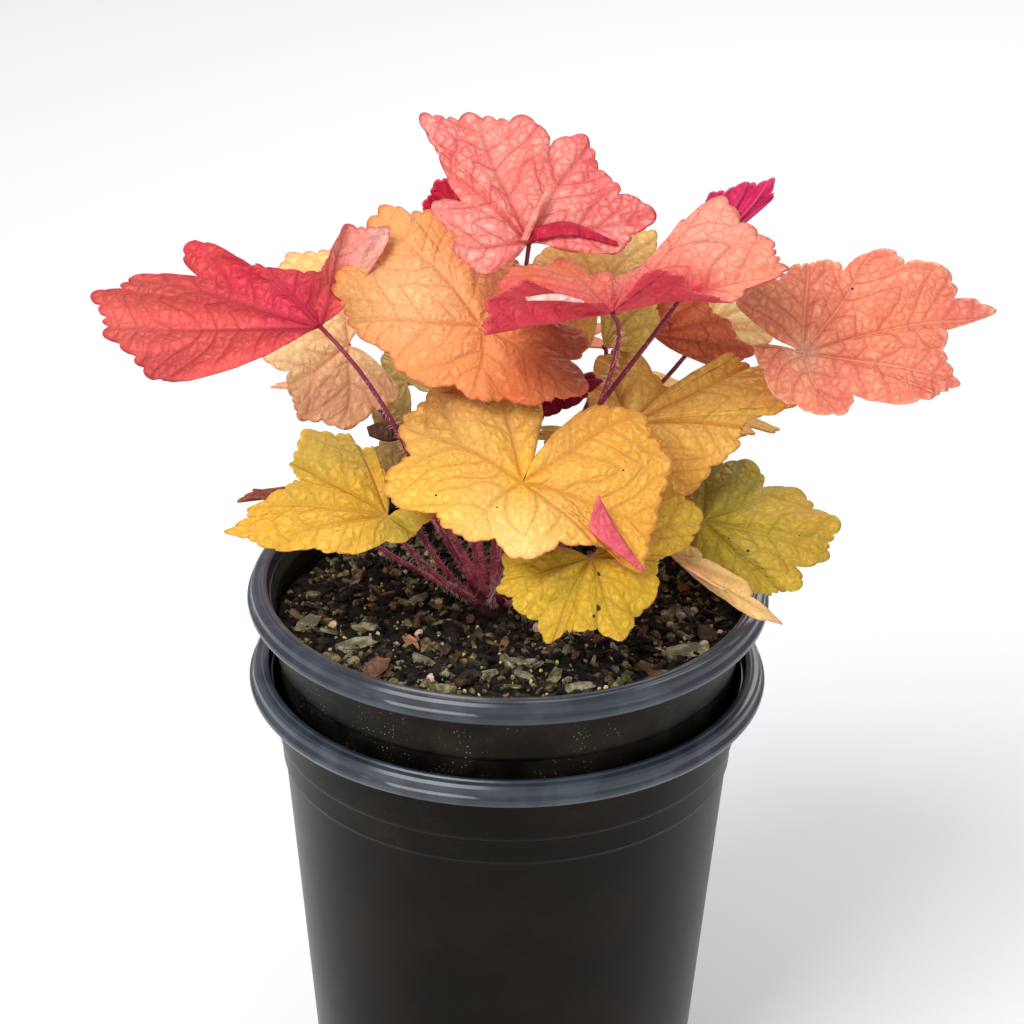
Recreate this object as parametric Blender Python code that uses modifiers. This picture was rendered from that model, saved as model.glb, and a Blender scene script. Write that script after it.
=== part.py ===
"""Heuchera with coral, orange and yellow leaves, in a black nursery pot nested in a second one."""
import math

import bmesh
import bpy
from mathutils import Matrix, Vector, noise

MM = 0.001
GAP = 0.3                  # clearance between pieces that touch, in mm
TURN_STEPS = 40            # sides of the turned pieces

# Pots: both are alike, one nested in the other. Sizes in mm, heights from the pot's own base.
POT_HEIGHT = 165.0
POT_WALL = 1.0
POT_FLOOR = 1.6
BASE_RADIUS = 61.0         # outside, at the foot
TOP_RADIUS = 74.9          # outside of the wall, just under the rim
RIM_RADIUS = 83.0
LIP_RADIUS = 76.3          # inside edge of the rim
RIM_DEPTH = 7.4
RIDGE_DROPS = (24.5, 33.3)  # how far below the rim the wall steps in
RIDGE_STEPS = (0.9, 0.7)
NEST_RISE = 28.5           # how far the inner pot stands above the outer one
RIB_COUNT = 6
RIB_WIDTH = 2.4
RIB_REACH = 58.6           # radius that the stacking ribs reach in to
DRAIN_COUNT = 6
DRAIN_RADIUS = 4.5
DRAIN_CIRCLE = 46.0

# Soil: it leans up to the front, and its top is rough.
SOIL_LEVEL = 181.0
SOIL_LEAN = -0.105         # rise per mm towards the back
SOIL_ROUGH = 2.2
SOIL_SEED = 11.0
SOIL_RINGS = (8.0, 17.0, 26.0, 35.0, 44.0, 53.0, 62.0, 69.0)

# Crown: the woody base, half sunk in a plain hole in the soil.
CROWN_AT = (-4.0, 8.0)
CROWN_MIDDLE = 172.0
CROWN_RADIUS = 11.5
CROWN_HEIGHT = 14.5

# Leaves
VIEW_TILT = math.radians(26.6)   # the leaves were measured looking down at this angle
BLADE = 0.7                # thickness
STALK_RADIUS = 1.1
STALK_SIDES = 6
STALK_TAPER = 0.6          # radius at the blade, as a share of the radius at the crown
RING_AT = {"low": 8.2, "mid": 5.6, "top": 3.0}   # where on the crown a stalk grows
HALF_FAN = 0.45            # how far the blade goes past its outer points, in steps between points
END_SWEEP = 0.55           # most that the blade turns, per step, past its outer points
LOBE_ROUND = 2.6
TOOTH_DEPTH = 0.045
RINGS = (0.0, 0.5, 1.0)    # shares of the way from the stalk to the edge
COLUMNS = 4                # columns of the mesh between two outline points

# Each leaf: the joint of blade and stalk in mm; points of the outline from that joint, as
# (across, up, near) in mm, clockwise round the upper side; how deep the edge dips between
# neighbouring points; how much the blade bulges; and the stalk's ring and heading on the crown.
CORAL = (0.86, 0.16, 0.20)
SALMON = (0.90, 0.34, 0.28)
ORANGE = (0.90, 0.42, 0.16)
PEACH = (0.93, 0.58, 0.33)
YELLOW = (0.90, 0.60, 0.16)
CREAM = (0.93, 0.74, 0.42)
OLIVE = (0.55, 0.45, 0.08)
MAGENTA = (0.75, 0.06, 0.22)
BROWN = (0.30, 0.13, 0.07)

LEAVES = {
    "front_gold": dict(
        at=(4, -36, 244), colour=YELLOW, stalk=("low", -95), bulge=0.05,
        outline=[(20, 23, -12), (36, 21, -10), (45, 7, -4), (40, -12, 0), (36, -26, 6),
                 (21, -18, 11), (2, -23, 14), (-20, -15, 10), (-41, -4, 1), (-36, 20, -9),
                 (-25, 31, -14), (-9, 32, -15), (3, 25, -12)],
        dips=(.04, .05, .03, .02, .1, .1, .12, .1, .12, .02, .03, 0)),
    "middle_orange": dict(
        at=(-9, -6, 282), colour=ORANGE, stalk=("mid", -120), bulge=0.05,
        outline=[(32, -3, -8), (31, -20, 4), (16, -24, 8), (1, -23, 10), (-21, -17, 10),
                 (-40, 0, 2), (-45, 10, -4), (-32, 38, -18), (-16, 36, -20), (10, 22, -22)],
        dips=(.16, .03, .08, .1, .05, .02, .12, .03, .1)),
    "top_salmon": dict(
        at=(5, 0, 307), colour=SALMON, stalk=("top", -100), bulge=0.05,
        outline=[(-15, -10, 8), (-22, -4, 6), (-29, 9, 0), (-27, 25, -7), (-33, 38, -12),
                 (-19, 41, -14), (-3, 39, -14), (17, 34, -12), (23, 22, -9), (38, 9, -4),
                 (27, -2, 6)],
        dips=(.03, .22, .24, .03, .03, .04, .22, .03, .1, .05)),
    "high_crimson": dict(
        at=(30, -27, 296), colour=SALMON, stalk=("mid", -56), bulge=0.0, basal=0.8,
        spring=0.15, droop=0.1, bend=(12, 12, 0),
        outline=[(-8, 2, 10), (-26, 7, 14), (-37, 1, 12), (-38, -7, 6), (-30, 12, -14),
                 (-15, 18, -20), (-4, 11, -16), (8, 16, -22), (19, 24, -24), (33, 37, -22),
                 (48, 23, -14), (52, 14, -8), (34, 4, 4), (15, 11, 14)],
        dips=(.06, .02, .02, .02, .03, .04, .2, .1, .05, .05, .04, .05, .1)),
    "left_coral": dict(
        at=(-58, -8, 282), colour=CORAL, stalk=("mid", -165), bulge=0.03, basal=0.35,
        droop=0.4, bend=(8, 0, 0),
        outline=[(20, 31, -8), (8, 32, -9), (1, 17, 0),
                 (-15, 17, 8), (-38, 23, 13), (-55, 14, 11), (-68, 7, 6), (-65, -3, 0),
                 (-52, -16, -9)],
        dips=(.03, .05, .05, .12, .2, .03, .03, .03)),
    "right_salmon": dict(
        at=(90, 4, 270), colour=SALMON, stalk=("mid", 5), bulge=0.05,
        spring=0.55, droop=0.3, bend=(12, 12, 0),
        outline=[(-20, 18, -4), (1, 28, -8), (8, 30, -10), (27, 33, -12), (44, 27, -8),
                 (59, 14, -2), (43, 4, 4), (47, -9, 8), (38, -14, 9), (6, -19, 10),
                 (-10, -13, 8), (-15, 1, 3)],
        dips=(.05, .03, .16, .1, .08, .28, .03, .03, .2, .03, .03)),
    "rear_left_peach": dict(
        at=(-52, 36, 257), colour=PEACH, stalk=("mid", 150), bulge=0.05,
        outline=[(16, -16, 0), (0, -27, 6), (-15, -24, 6), (-18, -16, 4), (-27, -4, 2),
                 (-26, 7, -4), (-20, 29, -11), (-4, 32, -12), (8, 26, -12)],
        dips=(.05, .04, .02, .2, .03, .15, .03, .05)),
    "rear_top_yellow": dict(
        at=(27, 48, 271), colour=YELLOW, stalk=("top", 95), bulge=0.05,
        outline=[(-5, -19, 8), (-16, -9, 6), (-20, 9, 0), (-8, 25, -10), (10, 25, -12),
                 (19, 21, -10), (19, 8, -4), (11, -7, 4)],
        dips=(.05,) * 7),
    "right_amber": dict(
        at=(37, 2, 246), colour=YELLOW, stalk=("mid", -25), bulge=0.05,
        outline=[(-13, 7, 0), (-10, 20, -8), (-1, 25, -10), (13, 12, -6), (31, 21, -10),
                 (42, 20, -9), (53, 8, -4), (36, 1, 0), (34, -6, 3), (19, -21, 4),
                 (0, -24, 10)],
        dips=(.03, .03, .02, .05, .03, .03, .02, .02, .05, .05)),
    "left_olive": dict(
        at=(-37, -26, 227), colour=YELLOW, stalk=("low", -135), bulge=0.05,
        outline=[(16, 2, 2), (8, -6, 6), (-14, -11, 10), (-37, -10, 10), (-49, -5, 6),
                 (-42, 2, 1), (-28, 10, -5), (-31, 16, -9), (-26, 25, -15), (-12, 25, -17),
                 (-6, 19, -15)],
        dips=(.03, .05, .02, .02, .1, .08, .02, .03, .03, .03)),
    "front_mustard": dict(
        at=(25, -46, 224), colour=OLIVE, stalk=("low", -65), bulge=0.06,
        outline=[(24, 22, -25), (34, 13, -22), (29, 3, -14), (20, -1, -7), (18, -13, 2),
                 (9, -24, 11), (-4, -22, 12), (-13, -25, 12), (-22, -16, 8), (-28, -10, 4),
                 (-26, -1, -2)],
        dips=(.03, .03, .05, .03, .05, .1, .1, .1, .1, .03)),
    "right_olive": dict(
        at=(61, -4, 216), colour=OLIVE, stalk=("low", -12), bulge=0.05,
        outline=[(-9, 8, -12), (0, 17, -14), (16, 18, -13), (31, 9, -8), (42, -2, 0),
                 (39, -11, 3), (29, -21, 6), (20, -23, 6), (-2, -15, 4)],
        dips=(.03, .03, .16, .05, .03, .15, .03, .05)),
    "right_pale_edge": dict(
        at=(48, -24, 216), colour=CREAM, stalk=("low", -38), bulge=0.02,
        outline=[(19, -14, 6), (36, -22, 4), (23, -9, -2), (8, 1, -3)],
        dips=(.03,) * 3),
    "rear_young_crimson": dict(
        at=(-12, 30, 293), colour=MAGENTA, stalk=("top", 150), bulge=0.05,
        outline=[(1, 18, 6), (-5, 24, 12), (-12, 20, 8), (-16, 13, 4)],
        dips=(.05,) * 3),
    "rear_young_magenta": dict(
        at=(62, 22, 297), colour=MAGENTA, stalk=("top", 50), bulge=0.0,
        droop=0.4, bend=(0, -8, 0),
        outline=[(18, 16, 4), (18, 21, 8), (9, 20, 6), (-1, 17, 4), (-5, 12, 0)],
        dips=(.05,) * 4),
    "under_red": dict(
        at=(44, 32, 264), colour=CORAL, stalk=("mid", 33), bulge=0.0,
        room=0.7, spring=0.15,
        outline=[(3, 10, 4), (17, 10, 8), (24, 3, 8), (33, -5, 2), (21, -10, -8)],
        dips=(.04,) * 4),
    "rear_cream": dict(
        at=(62, 46, 261), colour=CREAM, stalk=("mid", 62), bulge=0.05,
        outline=[(-6, 12, -8), (7, 12, -10), (22, 7, -6), (21, -5, 2), (9, -8, 6), (-7, -2, 6)],
        dips=(.05,) * 5),
    "inner_ochre": dict(
        at=(29, 17, 266), colour=YELLOW, stalk=("top", 5), bulge=0.05,
        spring=0.35, droop=0.1, bend=(5, 12, 0),
        outline=[(1, 14, -10), (9, 22, -12), (16, 17, -8), (17, 7, 0), (12, -1, 4)],
        dips=(.03,) * 4),
    "rear_pale_green": dict(
        at=(-34, 52, 237), colour=CREAM, stalk=("mid", 120), bulge=0.05,
        bend=(-8, 0, 0),
        outline=[(0, -15, 4), (-10, -13, 6), (-11, 0, 2), (-6, 11, -6), (3, 8, -6),
                 (9, -3, 0)],
        dips=(.06,) * 5),
    "low_dull_olive": dict(
        at=(-36, 4, 228), colour=OLIVE, stalk=("low", 180), bulge=0.04,
        outline=[(8, -10, 6), (-7, -7, 4), (-8, 5, -4), (-2, 12, -10), (6, 11, -10),
                 (10, 1, -4)],
        dips=(.05,) * 5),
    "dry_tip": dict(
        at=(-55, -12, 227), colour=BROWN, stalk=("low", -157), bulge=0.0,
        outline=[(-14, -2, 4), (-20, -2, 3), (-29, -1, 0), (-22, 1, -3), (-10, 1, -6)],
        dips=(.02,) * 4),
    "young_burgundy": dict(
        at=(13, -1, 261), colour=MAGENTA, stalk=("top", -45), bulge=0.0,
        bend=(-8, 0, 0),
        outline=[(-7, -7, 2), (-2, -10, 3), (8, -6, 4), (15, 1, 5), (12, 3, 1),
                 (3, 2, -3), (-6, -1, -2)],
        dips=(.03,) * 6),
}

# Leaves on the far side, which the photograph doesn't show, share one seven-lobed outline:
# bearing of each lobe from the middle one in degrees, its reach and its lift as shares of size.
LOBE_BEARINGS = (-150, -101, -50, 0, 50, 101, 150)
LOBE_REACH = (.70, .86, .95, 1.0, .95, .86, .70)
LOBE_LIFT = (.05, .0, .0, -.13, -.02, .01, .05)
LOBE_DIP = 0.2
FAR_LEAVES = {
    "far_left_peach": dict(at=(-46, 72, 226), facing=(124, -14, 6), size=36, colour=PEACH,
                           stalk=("low", 131), bend=(-8, 0, 0)),
    "far_middle_orange": dict(at=(2, 76, 240), facing=(88, -10, -4), size=38, colour=ORANGE,
                              stalk=("low", 85), bend=(0, -8, 0)),
    "far_right_yellow": dict(at=(56, 68, 222), facing=(50, -14, 4), size=36, colour=YELLOW,
                             stalk=("low", 35), droop=0.4, bend=(8, 0, 0)),
    "far_low_left_olive": dict(at=(-18, 60, 214), facing=(110, -12, 0), size=30, colour=OLIVE,
                               stalk=("low", 108)),
    "far_low_right_olive": dict(at=(30, 62, 212), facing=(74, -12, -5), size=31, colour=OLIVE,
                                stalk=("low", 60)),
}

PLANT_RED = (0.20, 0.02, 0.05)
POT_BLACK = (0.02, 0.018, 0.017)
SOIL_DARK = (0.035, 0.028, 0.022)
WOOD_BROWN = (0.16, 0.07, 0.05)


def clear_scene():
    for thing in list(bpy.data.objects):
        bpy.data.objects.remove(thing, do_unlink=True)


def make_collection(name):
    collection = bpy.data.collections.new(name)
    bpy.context.scene.collection.children.link(collection)
    return collection


def make_material(name, colour, roughness):
    material = bpy.data.materials.new(name)
    material.use_nodes = True
    shader = material.node_tree.nodes["Principled BSDF"]
    shader.inputs["Base Color"].default_value = (*colour, 1.0)
    shader.inputs["Roughness"].default_value = roughness
    return material


def put(collection, name, data, material):
    thing = bpy.data.objects.new(name, data)
    collection.objects.link(thing)
    data.materials.append(material)
    return thing


def apply_modifiers(thing):
    """Bake the object's modifiers into a mesh of its own."""
    graph = bpy.context.evaluated_depsgraph_get()
    mesh = bpy.data.meshes.new_from_object(thing.evaluated_get(graph))
    thing.modifiers.clear()
    thing.data = mesh


def turned(collection, name, profile, material):
    """Turn a profile, in mm and listed down the outer side, round the Z axis."""
    mesh = bpy.data.meshes.new(name)
    points = [(r * MM, 0.0, z * MM) for r, z in profile]
    mesh.from_pydata(points, [(i, i + 1) for i in range(len(points) - 1)], [])
    thing = put(collection, name, mesh, material)
    screw = thing.modifiers.new("Turn", "SCREW")
    screw.steps = TURN_STEPS
    screw.render_steps = TURN_STEPS
    screw.use_merge_vertices = True
    screw.merge_threshold = 0.00001
    apply_modifiers(thing)
    return thing


def wall_radius(height):
    """Outer radius of a pot's wall below its ridges."""
    below_ridge = POT_HEIGHT - RIDGE_DROPS[1]
    top = TOP_RADIUS - RIM_DEPTH * 0.06 - sum(RIDGE_STEPS) - 1.0
    return BASE_RADIUS + (top - BASE_RADIUS) * height / below_ridge


def outer_wall():
    """Points of the wall's outside, from under the rim down to the foot."""
    first = POT_HEIGHT - RIDGE_DROPS[0]
    second = POT_HEIGHT - RIDGE_DROPS[1]
    foot = wall_radius(second)
    return [
        (TOP_RADIUS, POT_HEIGHT - RIM_DEPTH - 0.6),
        (foot + sum(RIDGE_STEPS) + 0.5, first + 0.4),
        (foot + RIDGE_STEPS[1] + 0.5, first - 0.4),
        (foot + RIDGE_STEPS[1] + 0.1, second + 0.4),
        (foot, second - 0.4),
        (wall_radius(1.0), 1.0),
    ]


def inner_wall():
    """Points of the wall's inside, from the floor up to the lip."""
    outside = outer_wall()
    inside = [(r - POT_WALL, z) for r, z in reversed(outside[1:-1])]
    return [(wall_radius(POT_FLOOR) - POT_WALL, POT_FLOOR)] + inside + [
        (TOP_RADIUS - POT_WALL - 0.1, POT_HEIGHT - 9.5),
        (LIP_RADIUS, POT_HEIGHT - 0.9),
    ]


def make_pot(collection, cutters, name, rise, material):
    rim = [
        (0.5 * (LIP_RADIUS + RIM_RADIUS) - 1.4, POT_HEIGHT),
        (RIM_RADIUS - 2.2, POT_HEIGHT - 0.6),
        (RIM_RADIUS - 0.4, POT_HEIGHT - 2.2),
        (RIM_RADIUS, POT_HEIGHT - 4.2),
        (RIM_RADIUS - 0.5, POT_HEIGHT - RIM_DEPTH + 0.4),
        (RIM_RADIUS - 2.0, POT_HEIGHT - RIM_DEPTH),
    ]
    foot = [(wall_radius(0.0) - 0.8, 0.0), (0.0, 0.0), (0.0, POT_FLOOR)]
    profile = rim + outer_wall() + foot + inner_wall() + rim[:1]
    pot = turned(collection, name, profile, material)
    for number in range(RIB_COUNT):
        add_rib(pot, cutters, number)
    for number in range(DRAIN_COUNT):
        cut_drain(pot, cutters, number)
    apply_modifiers(pot)
    pot.location.z = rise * MM
    pot.data.shade_smooth()
    pot.data.set_sharp_from_angle(angle=math.radians(35))
    return pot


def add_boolean(thing, tool, operation):
    boolean = thing.modifiers.new(tool.name, "BOOLEAN")
    boolean.operation = operation
    boolean.solver = "EXACT"
    boolean.object = tool
    tool.hide_render = True
    tool.display_type = "WIRE"


def add_rib(pot, cutters, number):
    """A stacking rib inside the wall, that the next pot's base comes down on."""
    height = NEST_RISE - GAP
    reach_out = wall_radius(1.0) - POT_WALL * 0.5
    depth = reach_out - RIB_REACH
    bpy.ops.mesh.primitive_cube_add(size=1.0)
    rib = bpy.context.object
    rib.name = f"{pot.name}_rib_{number}"
    angle = 2.0 * math.pi * (number + 0.5) / RIB_COUNT
    middle = Vector(((RIB_REACH + 0.5 * depth) * MM, 0.0, 0.5 * (height + POT_FLOOR * 0.5) * MM))
    size = (depth * MM, RIB_WIDTH * MM, (height - POT_FLOOR * 0.5) * MM)
    rib.data.transform(Matrix.Rotation(angle, 4, "Z") @ Matrix.Translation(middle)
                       @ Matrix.Diagonal((*size, 1.0)))
    move_to(rib, cutters)
    add_boolean(pot, rib, "UNION")


def cut_drain(pot, cutters, number):
    bpy.ops.mesh.primitive_cylinder_add(vertices=12, radius=DRAIN_RADIUS * MM, depth=0.01)
    drain = bpy.context.object
    drain.name = f"{pot.name}_drain_{number}"
    angle = 2.0 * math.pi * number / DRAIN_COUNT
    place = Vector((math.cos(angle), math.sin(angle), 0.0)) * DRAIN_CIRCLE * MM
    drain.data.transform(Matrix.Translation(place))
    move_to(drain, cutters)
    add_boolean(pot, drain, "DIFFERENCE")


def move_to(thing, collection):
    for home in list(thing.users_collection):
        home.objects.unlink(thing)
    collection.objects.link(thing)


def pot_inside(height):
    """Inner radius of the inner pot at a height above the ground."""
    points = [(z + NEST_RISE, r) for r, z in inner_wall()]
    for (low, r_low), (high, r_high) in zip(points, points[1:]):
        if low <= height <= high:
            return r_low + (r_high - r_low) * (height - low) / (high - low)
    return points[0][1]


def soil_height(x, y):
    """Height of the soil's surface, in mm, at a place in mm."""
    place = Vector((x / 9.0, y / 9.0, SOIL_SEED))
    rough = noise.noise(place) + 0.5 * noise.noise(place * 2.3)
    return SOIL_LEVEL + SOIL_LEAN * y + SOIL_ROUGH * rough


def make_soil(collection, cutters, material):
    bottom = NEST_RISE + POT_FLOOR + GAP
    rib_top = NEST_RISE + NEST_RISE + GAP
    side = [(r - 0.35, z + NEST_RISE) for r, z in reversed(inner_wall()[1:-2])]
    top = [(0.0, SOIL_LEVEL)] + [(r, SOIL_LEVEL) for r in SOIL_RINGS]
    narrow = RIB_REACH - GAP
    profile = top + [(pot_inside(SOIL_LEVEL) - 0.35, SOIL_LEVEL)] + side
    profile += [(pot_inside(rib_top + 3.0) - 0.35, rib_top + 3.0), (narrow, rib_top)]
    profile += [(narrow, bottom), (0.0, bottom)]
    soil = turned(collection, "soil", profile, material)
    for vertex in soil.data.vertices:
        x, y, z = (value / MM for value in vertex.co)
        if z < SOIL_LEVEL - 0.01:
            continue
        height = soil_height(x, y)
        radius = math.hypot(x, y)
        if radius > SOIL_RINGS[-1] + 0.5:
            scale = (pot_inside(min(height, SOIL_LEVEL)) - 0.35) / radius
            vertex.co.x *= scale
            vertex.co.y *= scale
        vertex.co.z = height * MM
    bpy.ops.mesh.primitive_cylinder_add(vertices=16, radius=(CROWN_RADIUS + 0.9) * MM, depth=0.06)
    hole = bpy.context.object
    hole.name = "crown_hole"
    base = (CROWN_MIDDLE - CROWN_HEIGHT * 0.45 - GAP) * MM
    hole.data.transform(Matrix.Translation((CROWN_AT[0] * MM, CROWN_AT[1] * MM, base + 0.03)))
    move_to(hole, cutters)
    add_boolean(soil, hole, "DIFFERENCE")
    apply_modifiers(soil)
    return soil


def make_crown(collection, material):
    """A knobbly dome with a flat underside."""
    bpy.ops.mesh.primitive_uv_sphere_add(segments=16, ring_count=10, radius=1.0)
    crown = bpy.context.object
    crown.name = "crown"
    move_to(crown, collection)
    crown.data.materials.append(material)
    flat = -0.45
    for vertex in crown.data.vertices:
        vertex.co.z = max(vertex.co.z, flat)
    shape = bmesh.new()
    shape.from_mesh(crown.data)
    bmesh.ops.remove_doubles(shape, verts=shape.verts, dist=0.001)
    low = [v for v in shape.verts if v.co.z < flat + 0.001]
    inner = [v for v in low if v.co.xy.length < 0.88]
    bmesh.ops.delete(shape, geom=inner, context="VERTS")
    edges = [e for e in shape.edges if e.is_boundary]
    bmesh.ops.holes_fill(shape, edges=edges)
    bmesh.ops.recalc_face_normals(shape, faces=shape.faces)
    shape.to_mesh(crown.data)
    shape.free()
    size = Matrix.Diagonal((CROWN_RADIUS * MM, CROWN_RADIUS * MM, CROWN_HEIGHT * MM, 1.0))
    middle = Matrix.Translation((CROWN_AT[0] * MM, CROWN_AT[1] * MM, CROWN_MIDDLE * MM))
    crown.data.transform(middle @ size)
    crown.data.shade_smooth()
    return crown


def from_view(across, up, near):
    """Turn a step as the photograph sees it into a step in the part's own frame."""
    sine, cosine = math.sin(VIEW_TILT), math.cos(VIEW_TILT)
    return Vector((across, up * sine - near * cosine, up * cosine + near * sine))


def smooth_between(values, t):
    """Cubic that passes through every value at whole numbers of t."""
    last = len(values) - 1
    t = min(max(t, 0.0), last)
    i = min(int(t), last - 1)
    f = t - i

    def slope(k):
        if k in (0, last):
            return values[min(k + 1, last)] - values[max(k - 1, 0)]
        before, after = values[k] - values[k - 1], values[k + 1] - values[k]
        small, large = sorted((before.length, after.length))
        return (before + after) * small / (small + large)

    return ((2 * f**3 - 3 * f**2 + 1) * values[i] + (f**3 - 2 * f**2 + f) * slope(i)
            + (3 * f**2 - 2 * f**3) * values[i + 1] + (f**3 - f**2) * slope(i + 1))


def past_end(step):
    """How the blade's outermost edge goes on beyond the last outline point."""
    return step * min(0.9, END_SWEEP / step.length)


def blade_ray(points, dips, basal, t):
    """Direction and length of the line from the stalk joint to the blade's edge at t."""
    last = len(points) - 1
    unit = [p.normalized() for p in points]
    if t < 0.0:
        ray = unit[0] + past_end(unit[0] - unit[1]) * -t
    elif t > last:
        ray = unit[-1] + past_end(unit[-1] - unit[-2]) * (t - last)
    else:
        ray = smooth_between(unit, t)
    nearest = min(max(round(t), 0), last)
    step = t - nearest
    outer = t < 0.0 or t > last
    u = min(abs(step) / (HALF_FAN if outer else 0.5), 1.0)
    tip = points[nearest].length
    if outer:
        valley = tip * basal
        teeth = 2
    else:
        other = nearest + 1 if step > 0.0 or nearest == 0 else nearest - 1
        span = points[other].length
        cosine = max(-1.0, min(1.0, unit[nearest].dot(unit[other])))
        middle = 2.0 * tip * span / (tip + span) * math.sqrt((1.0 + cosine) / 2.0)
        valley = middle * (1.0 - dips[min(nearest, other)])
        teeth = max(1, round((points[nearest] - points[other]).length / 11.0))
    length = valley + (tip - valley) * (1.0 - u**LOBE_ROUND)
    scallop = abs(math.cos(math.pi * u * teeth))**0.7 - 0.6
    length *= 1.0 + TOOTH_DEPTH * scallop * min((1.0 - u) * 5.0, 1.0)**0.5
    return ray.normalized(), length


def blade_normal(points):
    """The side that a leaf's upper face looks to, taken over the whole blade."""
    total = Vector((0.0, 0.0, 0.0))
    unit = [p.normalized() for p in points]
    for one, two in zip(unit, unit[1:]):
        total += two.cross(one)
    return total.normalized()


def blade_point(leaf, t, share):
    """A point of the blade's middle surface, in mm."""
    points = leaf["points"]
    ray, length = blade_ray(points, leaf["dips"], leaf["basal"], t)
    before, _ = blade_ray(points, leaf["dips"], leaf["basal"], t - 0.06)
    after, _ = blade_ray(points, leaf["dips"], leaf["basal"], t + 0.06)
    side = (after - before).cross(ray)
    side = side.normalized() if side.length > 1e-6 else leaf["normal"]
    bulge = 4.0 * leaf["bulge"] * length * share * (1.0 - share)
    return Vector(leaf["at"]) + ray * length * share + bulge * (0.6 * leaf["normal"] + 0.4 * side)


def ready(leaf):
    """Fill in what the blade's formulas need."""
    if "facing" in leaf:
        leaf["points"] = far_points(leaf["facing"], leaf["size"])
        leaf["dips"] = (LOBE_DIP,) * (len(LOBE_BEARINGS) - 1)
    else:
        leaf["points"] = [from_view(*point) for point in leaf["outline"]]
    leaf.setdefault("bulge", 0.05)
    leaf.setdefault("basal", 0.5)
    leaf["normal"] = blade_normal(leaf["points"])
    return leaf


def far_points(facing, size):
    """Lobe tips of a hidden leaf, from its heading, tilt and roll in degrees."""
    heading, tilt, roll = (math.radians(angle) for angle in facing)
    along = Vector((math.cos(tilt) * math.cos(heading), math.cos(tilt) * math.sin(heading),
                    math.sin(tilt)))
    level = Vector((math.sin(heading), -math.cos(heading), 0.0))
    upright = level.cross(along)
    side = level * math.cos(roll) - upright * math.sin(roll)
    upper = upright * math.cos(roll) + level * math.sin(roll)
    tips = []
    for bearing, reach, lift in zip(LOBE_BEARINGS, LOBE_REACH, LOBE_LIFT):
        turn = math.radians(bearing)
        flat = side * math.sin(turn) + along * math.cos(turn)
        tips.append(size * (reach * flat + lift * upper))
    return tips


def make_blade(collection, name, leaf, material):
    """A fan from the stalk joint to the lobed edge, split alike on both faces."""
    last = len(leaf["points"]) - 1
    steps = [-HALF_FAN, -HALF_FAN * 0.5]
    steps += [k / COLUMNS for k in range(last * COLUMNS + 1)]
    steps += [last + HALF_FAN * 0.5, last + HALF_FAN]
    bpy.ops.mesh.primitive_grid_add(x_subdivisions=len(steps) - 1,
                                    y_subdivisions=len(RINGS) - 1, size=1.0)
    blade = bpy.context.object
    blade.name = f"leaf_{name}"
    move_to(blade, collection)
    blade.data.materials.append(material)
    for vertex in blade.data.vertices:
        column = round((vertex.co.x + 0.5) * (len(steps) - 1))
        ring = round((vertex.co.y + 0.5) * (len(RINGS) - 1))
        vertex.co = blade_point(leaf, steps[column], RINGS[ring]) * MM
    shape = bmesh.new()
    shape.from_mesh(blade.data)
    bmesh.ops.remove_doubles(shape, verts=shape.verts, dist=0.00001)
    bmesh.ops.triangulate(shape, faces=shape.faces, quad_method="SHORT_EDGE")
    shape.normal_update()
    facing = sum((face.normal * face.calc_area() for face in shape.faces), Vector())
    if facing.dot(leaf["normal"]) < 0.0:
        bmesh.ops.reverse_faces(shape, faces=shape.faces)
    shape.to_mesh(blade.data)
    shape.free()
    thick = blade.modifiers.new("Thickness", "SOLIDIFY")
    thick.thickness = BLADE * MM
    thick.offset = 0.0
    apply_modifiers(blade)
    blade.data.shade_smooth()
    blade.data.set_sharp_from_angle(angle=math.radians(50))
    return blade


def crown_foot(ring, heading):
    """Where a stalk leaves the crown, and the way that it leaves."""
    reach = RING_AT[ring]
    rise = CROWN_HEIGHT * math.sqrt(1.0 - (reach / CROWN_RADIUS)**2)
    turn = math.radians(heading)
    out = Vector((math.cos(turn), math.sin(turn), 0.0))
    place = Vector((*CROWN_AT, CROWN_MIDDLE + rise)) + out * reach
    way = out * (reach / CROWN_RADIUS**2) + Vector((0.0, 0.0, rise / CROWN_HEIGHT**2))
    return place, way.normalized()


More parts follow.
